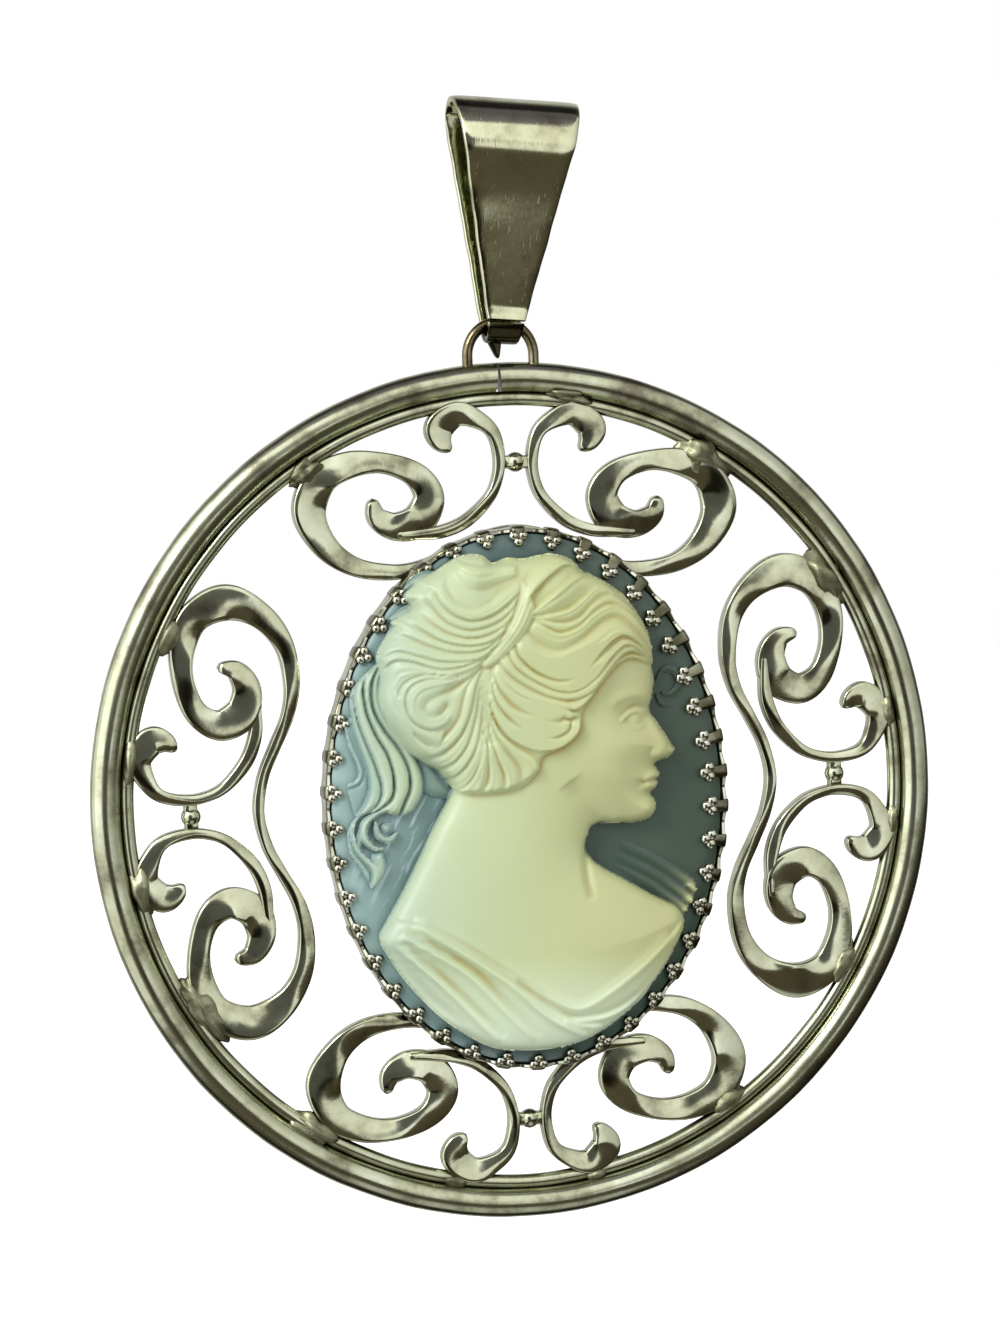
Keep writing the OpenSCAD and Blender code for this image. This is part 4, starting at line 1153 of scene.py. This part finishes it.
APRON = [(-10.8, 10.7), (-10.3, 8.7), (-9.4, 6.3), (-8.0, 3.9), (-6.2, 1.4), (-5.9, 0.7), (-6.6, 0.5),
    (-8.1, 1.1), (-8.2, 2.6), (-9.1, 4.2), (-10.2, 6.1), (-10.9, 8.2)]
apron = depth_inside(curve(*APRON, APRON[0])[:-1], X, Z)
height = np.maximum(height, EDGE_RISE * rounded(apron, 1.0))
outline = np.maximum(outline, apron)
built = height.copy()
for name, fan in HAIR.items():
    for row in zip(fan[::2], fan[1::2], fan[2::2]):
        lay_lock(*row)
    print(f"{name}: {len(fan) // 2} locks")
height = built
print("locks rise to", round(height.max(), 2), "mm")

# %% [markdown]
# ### Face, neck and dress
# The plain face is set out in thirds from hairline to chin, with the eye's line at the top of the
# middle third. Its parts are low mounds, and ridges and hollows along short lines, all soft. The dress
# is a second skin below the neckline, with folds that fan out from the shoulder: each is a ridge with a
# hollow beside it. At the right a veil rises out of the ground where it leaves the shoulder.


# %% Mounds, ridges and hollows
def mound(x0, z0, across, up, rise):
    """Adds rise * exp(-(distance in units of across and up) squared). A negative rise is a hollow."""
    i, j = window(np.array([[x0, z0]]), 3 * max(across, up))
    height[i, j] += rise * np.exp(-((X[i, j] - x0) / across) ** 2 - ((Z[i, j] - z0) / up) ** 2)


def ridge(points, half, rise, fade=0.25):
    """Adds rise * exp(-(distance from the line / half) squared), fading over a share of its length at
    both ends. A negative rise is a groove."""
    path = curve(*points)
    i, j = window(path, 3 * half)
    gap, share = near_path(path, X[i, j], Z[i, j])
    ends = np.clip(share / fade, 0, 1) * np.clip((1 - share) / fade, 0, 1)
    height[i, j] += rise * np.exp(-(gap / half) ** 2) * np.sqrt(ends)


# Waves of the hair under the locks, each as wide as high, and the hollow along the parting
HAIR_WAVES = [(-4.8, 15.6, 2.2, 0.35), (-7.8, 7.4, 2.0, 0.40), (-4.6, 3.6, 2.0, 0.35), (0.2, 5.6, 1.8, 0.45),
              (3.6, 10.0, 2.0, 0.40), (2.0, 16.4, 1.8, 0.35), (7.6, 12.6, 1.5, 0.25)]
for x0, z0, across, rise in HAIR_WAVES:
    mound(x0, z0, across, across, rise)
ridge([(-1.4, 12.6), (-3.6, 10.2), (-3.7, 7.0), (-3.4, 4.5)], 0.7, -0.35, 0.3)
ridge([(-3.6, 10.2), (-6.0, 9.0), (-7.0, 5.2)], 0.6, -0.22, 0.4)
# Eye: socket, brow, ball, lid with its crease, and lower lid
mound(7.9, 5.8, 1.5, 0.95, -0.34)
ridge([(9.5, 7.2), (8.4, 7.6), (7.0, 7.5), (5.8, 6.9)], 0.45, 0.14)
mound(8.05, 5.75, 0.62, 0.46, 0.30)
ridge([(6.75, 5.6), (7.4, 6.2), (8.2, 6.35), (9.0, 6.0)], 0.17, 0.20, 0.15)
ridge([(6.9, 6.0), (7.5, 6.6), (8.3, 6.75), (9.1, 6.4)], 0.14, -0.10, 0.3)
ridge([(6.9, 5.45), (7.6, 5.12), (8.3, 5.12), (8.8, 5.4)], 0.15, 0.10, 0.3)
# Nose: bridge, wing, crease and nostril
ridge([(9.3, 6.2), (9.9, 4.8), (10.6, 3.6)], 0.5, 0.22)
mound(9.75, 2.95, 0.55, 0.42, 0.30)
ridge([(9.3, 3.6), (9.0, 3.1), (9.2, 2.5)], 0.16, -0.13)
mound(10.25, 2.6, 0.25, 0.14, -0.22)
# Mouth: upper lip, lower lip, the line between them, its corner, and the hollow below
ridge([(8.55, 1.05), (9.2, 1.4), (10.0, 1.4)], 0.24, 0.16)
ridge([(8.7, 0.75), (9.2, 0.55), (9.8, 0.7)], 0.24, 0.16)
ridge([(8.3, 0.95), (9.0, 1.0), (9.9, 1.02)], 0.13, -0.26, 0.2)
mound(8.2, 0.95, 0.35, 0.4, -0.12)
mound(9.0, 0.0, 0.6, 0.28, -0.12)
# Chin, cheek, the hollow beside the mouth, and the jaw's edge
mound(8.9, -1.1, 0.8, 0.6, 0.18)
mound(6.0, 3.4, 2.2, 2.2, 0.30)
mound(7.6, 0.6, 1.2, 1.8, -0.10)
ridge([(5.6, -2.2), (4.0, -0.6), (2.6, 1.4)], 0.9, -0.32)
# Crease of the neck, and soft rises of the neck and the chest
ridge([(4.2, -3.0), (3.9, -4.9), (3.9, -6.2), (4.1, -7.6)], 0.32, -0.40, 0.35)
mound(-1.0, -4.5, 3.0, 4.5, 0.18)
mound(6.0, -10.5, 3.5, 2.2, 0.12)
print("face and neck done, highest point", round(height.max(), 2), "mm")

# %% Dress and folds
NECKLINE = [(-12.5, -7.9), (-9.6, -8.5), (-7.4, -9.4), (-3.4, -12.0), (0.0, -14.3), (2.3, -15.5),
            (3.6, -15.3), (5.4, -14.3), (7.6, -12.8), (10.1, -10.7), (12.2, -8.7)]
dress_loop = np.vstack([curve(*NECKLINE), [(14, -20), (-14, -20)]])
dress = depth_inside(dress_loop, X, Z)
height += np.where((dress > 0) & (edge > 0), 0.30 * rounded(dress, 0.5) * rounded(edge, 0.6), 0)
ridge(NECKLINE[1:-1], 0.42, 0.22, 0.05)
FOLDS = [[(-9.2, -8.9), (-5.2, -11.6), (-1.0, -14.6), (2.2, -16.9), (4.6, -17.3)],
         [(-10.6, -9.4), (-7.7, -11.2), (-5.4, -12.9), (-3.2, -15.3), (-0.7, -18.0)],
         [(-11.0, -10.2), (-8.6, -12.4), (-6.6, -14.4), (-4.8, -16.4), (-3.4, -17.9)],
         [(-11.6, -10.6), (-10.2, -13.0), (-8.3, -15.2), (-6.2, -17.0)],
         [(1.5, -16.6), (4.6, -16.6), (7.6, -15.2), (10.4, -12.0)],
         [(-2.6, -13.6), (0.6, -16.4), (3.4, -18.0)]]
HOLLOW_RIGHT, HOLLOW_UP = 0.45, 0.36
for fold in FOLDS:
    ridge(fold, 0.24, 0.36, 0.3)
    ridge([(x + HOLLOW_RIGHT, z + HOLLOW_UP) for x, z in fold], 0.36, -0.30, 0.3)
# The lace at the shoulder: two sets of sines across each other, strong near one place
weave = np.exp(-((X + 9.3) / 1.7) ** 2 - ((Z + 10.6) / 1.5) ** 2) * (dress > 0.3)
height += 0.08 * weave * np.sin(7.5 * (X * 0.45 + Z * 0.9)) * np.sin(4.0 * (X * 0.9 - Z * 0.45) + 1.0)
print("dress done,", len(FOLDS), "folds")

# %% Veil, stray curls and a ball of hair on the ground
VEIL = [[(5.6, -3.1), (7.4, -3.5), (9.8, -4.8), (12.3, -6.5), (12.6, -7.3)],
        [(5.2, -3.9), (7.2, -4.5), (9.6, -5.8), (11.9, -7.4), (12.4, -8.0)],
        [(5.0, -4.6), (7.0, -5.4), (9.2, -6.6), (11.4, -8.2), (12.0, -8.7)],
        [(5.0, -5.0), (6.8, -5.9), (8.8, -7.3), (10.6, -8.5), (11.5, -9.4)]]
for first, second in zip(VEIL[:-1], VEIL[1:]):
    one, two = curve(*first), curve(*second)
    loop = np.vstack([one, two[::-1]])
    i, j = window(loop, 0.6)
    gap_1, share = near_path(one, X[i, j], Z[i, j])
    gap_2, _ = near_path(two, X[i, j], Z[i, j])
    u = gap_1 / (gap_1 + gap_2 + 1e-6)
    depth = depth_inside(loop, X[i, j], Z[i, j])
    rise = -SUNK + 0.95 * share**1.6 * (0.5 + 0.5 * np.sin(np.pi * u))
    height[i, j] = np.where((depth > 0) & (edge[i, j] < 0), rise, height[i, j])
    np.maximum(outline[i, j], depth + 0.02, out=outline[i, j])


def laid_strand(points, half, rise):
    """A strand on the bare ground: half a round cord, thinner at both ends, that widens the outline."""
    path = curve(*points)
    i, j = window(path, 2 * half)
    gap, share = near_path(path, X[i, j], Z[i, j])
    width = half * np.sqrt(np.clip(np.minimum(share, 1 - share) / 0.3, 0.15, 1))
    top = rise * np.sqrt(np.clip(1 - (gap / width) ** 2, 0, 1))
    height[i, j] = np.maximum(height[i, j], top)
    np.maximum(outline[i, j], width - gap, out=outline[i, j])


laid_strand([(10.2, 8.6), (10.9, 9.3), (11.7, 9.0), (11.9, 8.1), (11.3, 7.4), (10.6, 7.5)], 0.3, 0.22)
laid_strand([(10.1, 7.4), (10.5, 6.7), (11.1, 6.5)], 0.16, 0.2)
laid_strand([(-12.1, -0.6), (-12.9, -1.6), (-13.3, -3.0)], 0.3, 0.5)
laid_strand([(-11.9, -1.0), (-11.7, -2.0), (-10.9, -2.4), (-10.3, -1.9)], 0.28, 0.6)
KNOT_X, KNOT_Z = -11.0, -1.55
mound(KNOT_X, KNOT_Z, 0.45, 0.45, 0.5)
outline = np.maximum(outline, 0.5 - np.hypot(X - KNOT_X, Z - KNOT_Z))
print("share of the grid that is carved:", round((outline > 0).mean(), 3))

# %% [markdown]
# ### From heights to a body
# Each grid square is two triangles. Where the outline passes between two corners of a triangle, the
# cut point is found by how far from zero both corners are, and only the inner part of the triangle is
# kept. The cut edges get a wall down to the ground, and one flat face closes the back.


# %% Softening, and how far a place lies in a groove
def softened(values, passes):
    """Repeated 1-2-1 averages along both directions of the grid."""
    for _ in range(passes):
        padded = np.pad(values, 1, mode="edge")
        values = (padded[:-2, 1:-1] + 2 * values + padded[2:, 1:-1]) / 4
        padded = np.pad(values, 1, mode="edge")
        values = (padded[1:-1, :-2] + 2 * values + padded[1:-1, 2:]) / 4
    return values


GROOVE_PASSES, GROOVE_DEEP = 22, 0.22
inside = outline > 0
weight = softened(inside.astype(float), 1)
height = np.where(inside, softened(np.where(inside, height, 0), 1) / np.maximum(weight, 0.3), 0)
height = np.where(inside, np.clip(height, -SUNK, RELIEF), 0)
around = softened(height, GROOVE_PASSES) / np.maximum(softened(inside.astype(float), GROOVE_PASSES), 0.2)
# Stain and painted shade keep away from the outline, where the ground pulls the average down
groove = np.clip((around - height) / GROOVE_DEEP, 0, 1) * np.clip((outline - 0.15) / 1.2, 0, 1)
print("deepest groove", round((around - height)[inside].max(), 2), "mm")


# %% Cut along the outline
def marched(values):
    """Triangles of the part of the grid where values > 0, with the corner points and cut points that
    they use, and the cut edges. A cut lies at a / (a - b) of the way from corner value a to b."""
    rows, cols = values.shape
    flat = values.ravel()
    number = np.arange(rows * cols).reshape(rows, cols)
    squares = (number[:-1, :-1], number[:-1, 1:], number[1:, 1:], number[1:, :-1])
    a, b, c, d = (part.ravel() for part in squares)
    corners = np.vstack([np.stack([a, b, c], axis=1), np.stack([a, c, d], axis=1)])
    ends = np.stack([corners, np.roll(corners, -1, axis=1)], axis=-1)
    keys = np.sort(ends, axis=-1)
    keys = keys[..., 0] * (rows * cols) + keys[..., 1]
    kept = flat[corners] > 0
    crossing = kept != np.roll(kept, -1, axis=1)
    cut_keys = np.unique(keys[crossing])
    low, high = cut_keys // (rows * cols), cut_keys % (rows * cols)
    t = np.clip(flat[low] / (flat[low] - flat[high]), 0.08, 0.92)
    cut_of = rows * cols + np.searchsorted(cut_keys, keys)
    count = kept.sum(axis=1)
    tris, quads, cuts = [corners[count == 3]], [], []
    for k in range(3):
        after, before = (k + 1) % 3, (k + 2) % 3
        one = (count == 1) & kept[:, k]
        tris.append(np.stack([corners[one, k], cut_of[one, k], cut_of[one, before]], axis=1))
        cuts.append(np.stack([cut_of[one, k], cut_of[one, before]], axis=1))
        two = (count == 2) & ~kept[:, k]
        quads.append(np.stack([corners[two, after], corners[two, before],
                               cut_of[two, before], cut_of[two, k]], axis=1))
        cuts.append(np.stack([cut_of[two, before], cut_of[two, k]], axis=1))
    return np.vstack(tris), np.vstack(quads), np.vstack(cuts), (low, high, t)


tris, quads, cuts, (low, high, t) = marched(outline)
flat_x, flat_z = (np.concatenate([v, v[low] * (1 - t) + v[high] * t]) for v in (X.ravel(), Z.ravel()))
top, pit = (np.concatenate([v, np.maximum(v[low], v[high])]) for v in (height.ravel(), groove.ravel()))
used = np.unique(np.concatenate([tris.ravel(), quads.ravel()]))
renumber = np.full(len(top), -1)
renumber[used] = np.arange(len(used))
tris, quads, cuts = (renumber[part] for part in (tris, quads, cuts))
top, pit = top[used], pit[used]
front = np.stack([flat_x[used], ground_y - 0.02 - top, flat_z[used]], axis=1)
rim = np.unique(cuts)
foot_of = np.full(len(front), -1)
foot_of[rim] = len(front) + np.arange(len(rim))
feet = front[rim] * [1, 0, 1] + [0, ground_y + 0.1, 0]
walls = np.stack([cuts[:, 1], cuts[:, 0], foot_of[cuts[:, 0]], foot_of[cuts[:, 1]]], axis=1)
points = np.vstack([front, feet]) + cameo_mid
relief = put_mesh("bust_relief", (points, [tris, quads, walls]), 50)

# %% What the resin needs to know at each point: how thick it is, and how deep in a groove
for name, values in (("thick", top), ("groove", pit)):
    layer = relief.data.attributes.new(name, "FLOAT", "POINT")
    layer.data.foreach_set("value", np.concatenate([values, np.zeros(len(rim))]).astype(np.float32))
    print(f"{name}: up to {values.max():.2f}")

# %% Close the back, and turn all faces out
shape = bmesh.new()
shape.from_mesh(relief.data)
open_edges = [e for e in shape.edges if e.is_boundary]
bmesh.ops.holes_fill(shape, edges=open_edges, sides=0)
bmesh.ops.recalc_face_normals(shape, faces=shape.faces)
print("open edges closed:", len(open_edges), "left open:", sum(e.is_boundary for e in shape.edges))
shape.to_mesh(relief.data)
shape.free()


# %% Ivory resin
def ivory_resin():
    """Cast ivory resin: bluish where it is thin, honey-brown in the grooves from old polish and painted
    shade, cooler at the left, paler and cleaner on the dress, soft gloss, and a little light goes in."""
    made, tree, place = new_material("ivory_cast_resin")
    apart = node(tree, "SeparateXYZ", {0: place})
    share = node(tree, "MapRange", {"Value": apart.outputs["X"], "From Min": (cameo_mid[0] - 13) * MM,
                                    "From Max": (cameo_mid[0] + 9) * MM}).outputs[0]
    dress_share = node(tree, "MapRange", {"Value": apart.outputs["Z"], "From Min": (cameo_mid[2] - 16.5) * MM,
                                          "From Max": (cameo_mid[2] - 11.5) * MM, "To Min": 0.8,
                                          "To Max": 0.0}).outputs[0]
    tones = [(0.0, "#B6CAB6"), (0.3, "#C3D0AB"), (0.65, "#C5CD9A"), (1.0, "#BDC08C")]
    body = node(tree, "ValToRGB", {"Fac": share}, tones).outputs[0]
    body = node(tree, "Mix", {0: dress_share, 6: body, 7: linear("#DCEBD2")}, data_type="RGBA").outputs[2]
    level_out = node(tree, "Attribute", attribute_name="thick").outputs["Fac"]
    solid = node(tree, "ValToRGB", {"Fac": level_out}, [(0.22, 0.0), (1.1, 1.0)])
    solid.color_ramp.interpolation = "EASE"
    seen = node(tree, "Mix", {0: solid.outputs[0], 6: ground_colour_and_painted_shade(tree, place), 7: body},
                data_type="RGBA").outputs[2]
    pit_out = node(tree, "Attribute", attribute_name="groove").outputs["Fac"]
    stain = node(tree, "TexNoise", {"Vector": place, "Scale": 1 / (2.5 * MM), "Detail": 4.0}).outputs["Fac"]
    # Grooves go honey-brown: old polish, and painted shade in the creases.
    dirt_and_painted_shade = node(tree, "ValToRGB", {"Fac": pit_out}, [(0.08, 0.0), (0.8, 0.9)]).outputs[0]
    # It is patchy, and there is less of it at the left and on the dress
    for level, stops in ((stain, [(0.35, 0.45), (0.65, 1.0)]), (share, [(0.08, 0.2), (0.3, 1.0)]),
                         (dress_share, [(0.0, 1.0), (0.8, 0.35)])):
        less = node(tree, "ValToRGB", {"Fac": level}, stops).outputs[0]
        dirt_and_painted_shade = node(tree, "Mix", {0: 1.0, 6: dirt_and_painted_shade, 7: less}, data_type="RGBA",
                    blend_type="MULTIPLY").outputs[2]
    colour = node(tree, "Mix", {0: dirt_and_painted_shade, 6: seen, 7: linear("#B29A4E")}, data_type="RGBA").outputs[2]
    grain = node(tree, "TexNoise", {"Vector": place, "Scale": 1 / (0.7 * MM), "Detail": 4.0,
                                    "Roughness": 0.6}).outputs["Fac"]
    bump = node(tree, "Bump", {"Height": grain, "Strength": 0.12, "Distance": 0.05 * MM}).outputs["Normal"]
    gloss = node(tree, "MapRange", {"Value": grain, "To Min": 0.30, "To Max": 0.44}).outputs[0]
    shader = node(tree, "BsdfPrincipled", {"Base Color": colour, "Roughness": gloss, "Normal": bump,
                                           "Subsurface Weight": 0.35, "Subsurface Radius": (1.0, 0.9, 0.6),
                                           "Subsurface Scale": 1.2 * MM})
    node(tree, "OutputMaterial", {"Surface": shader.outputs[0]})
    return made


finish_piece(relief, "pendant", "cameo_bust", ivory_resin())
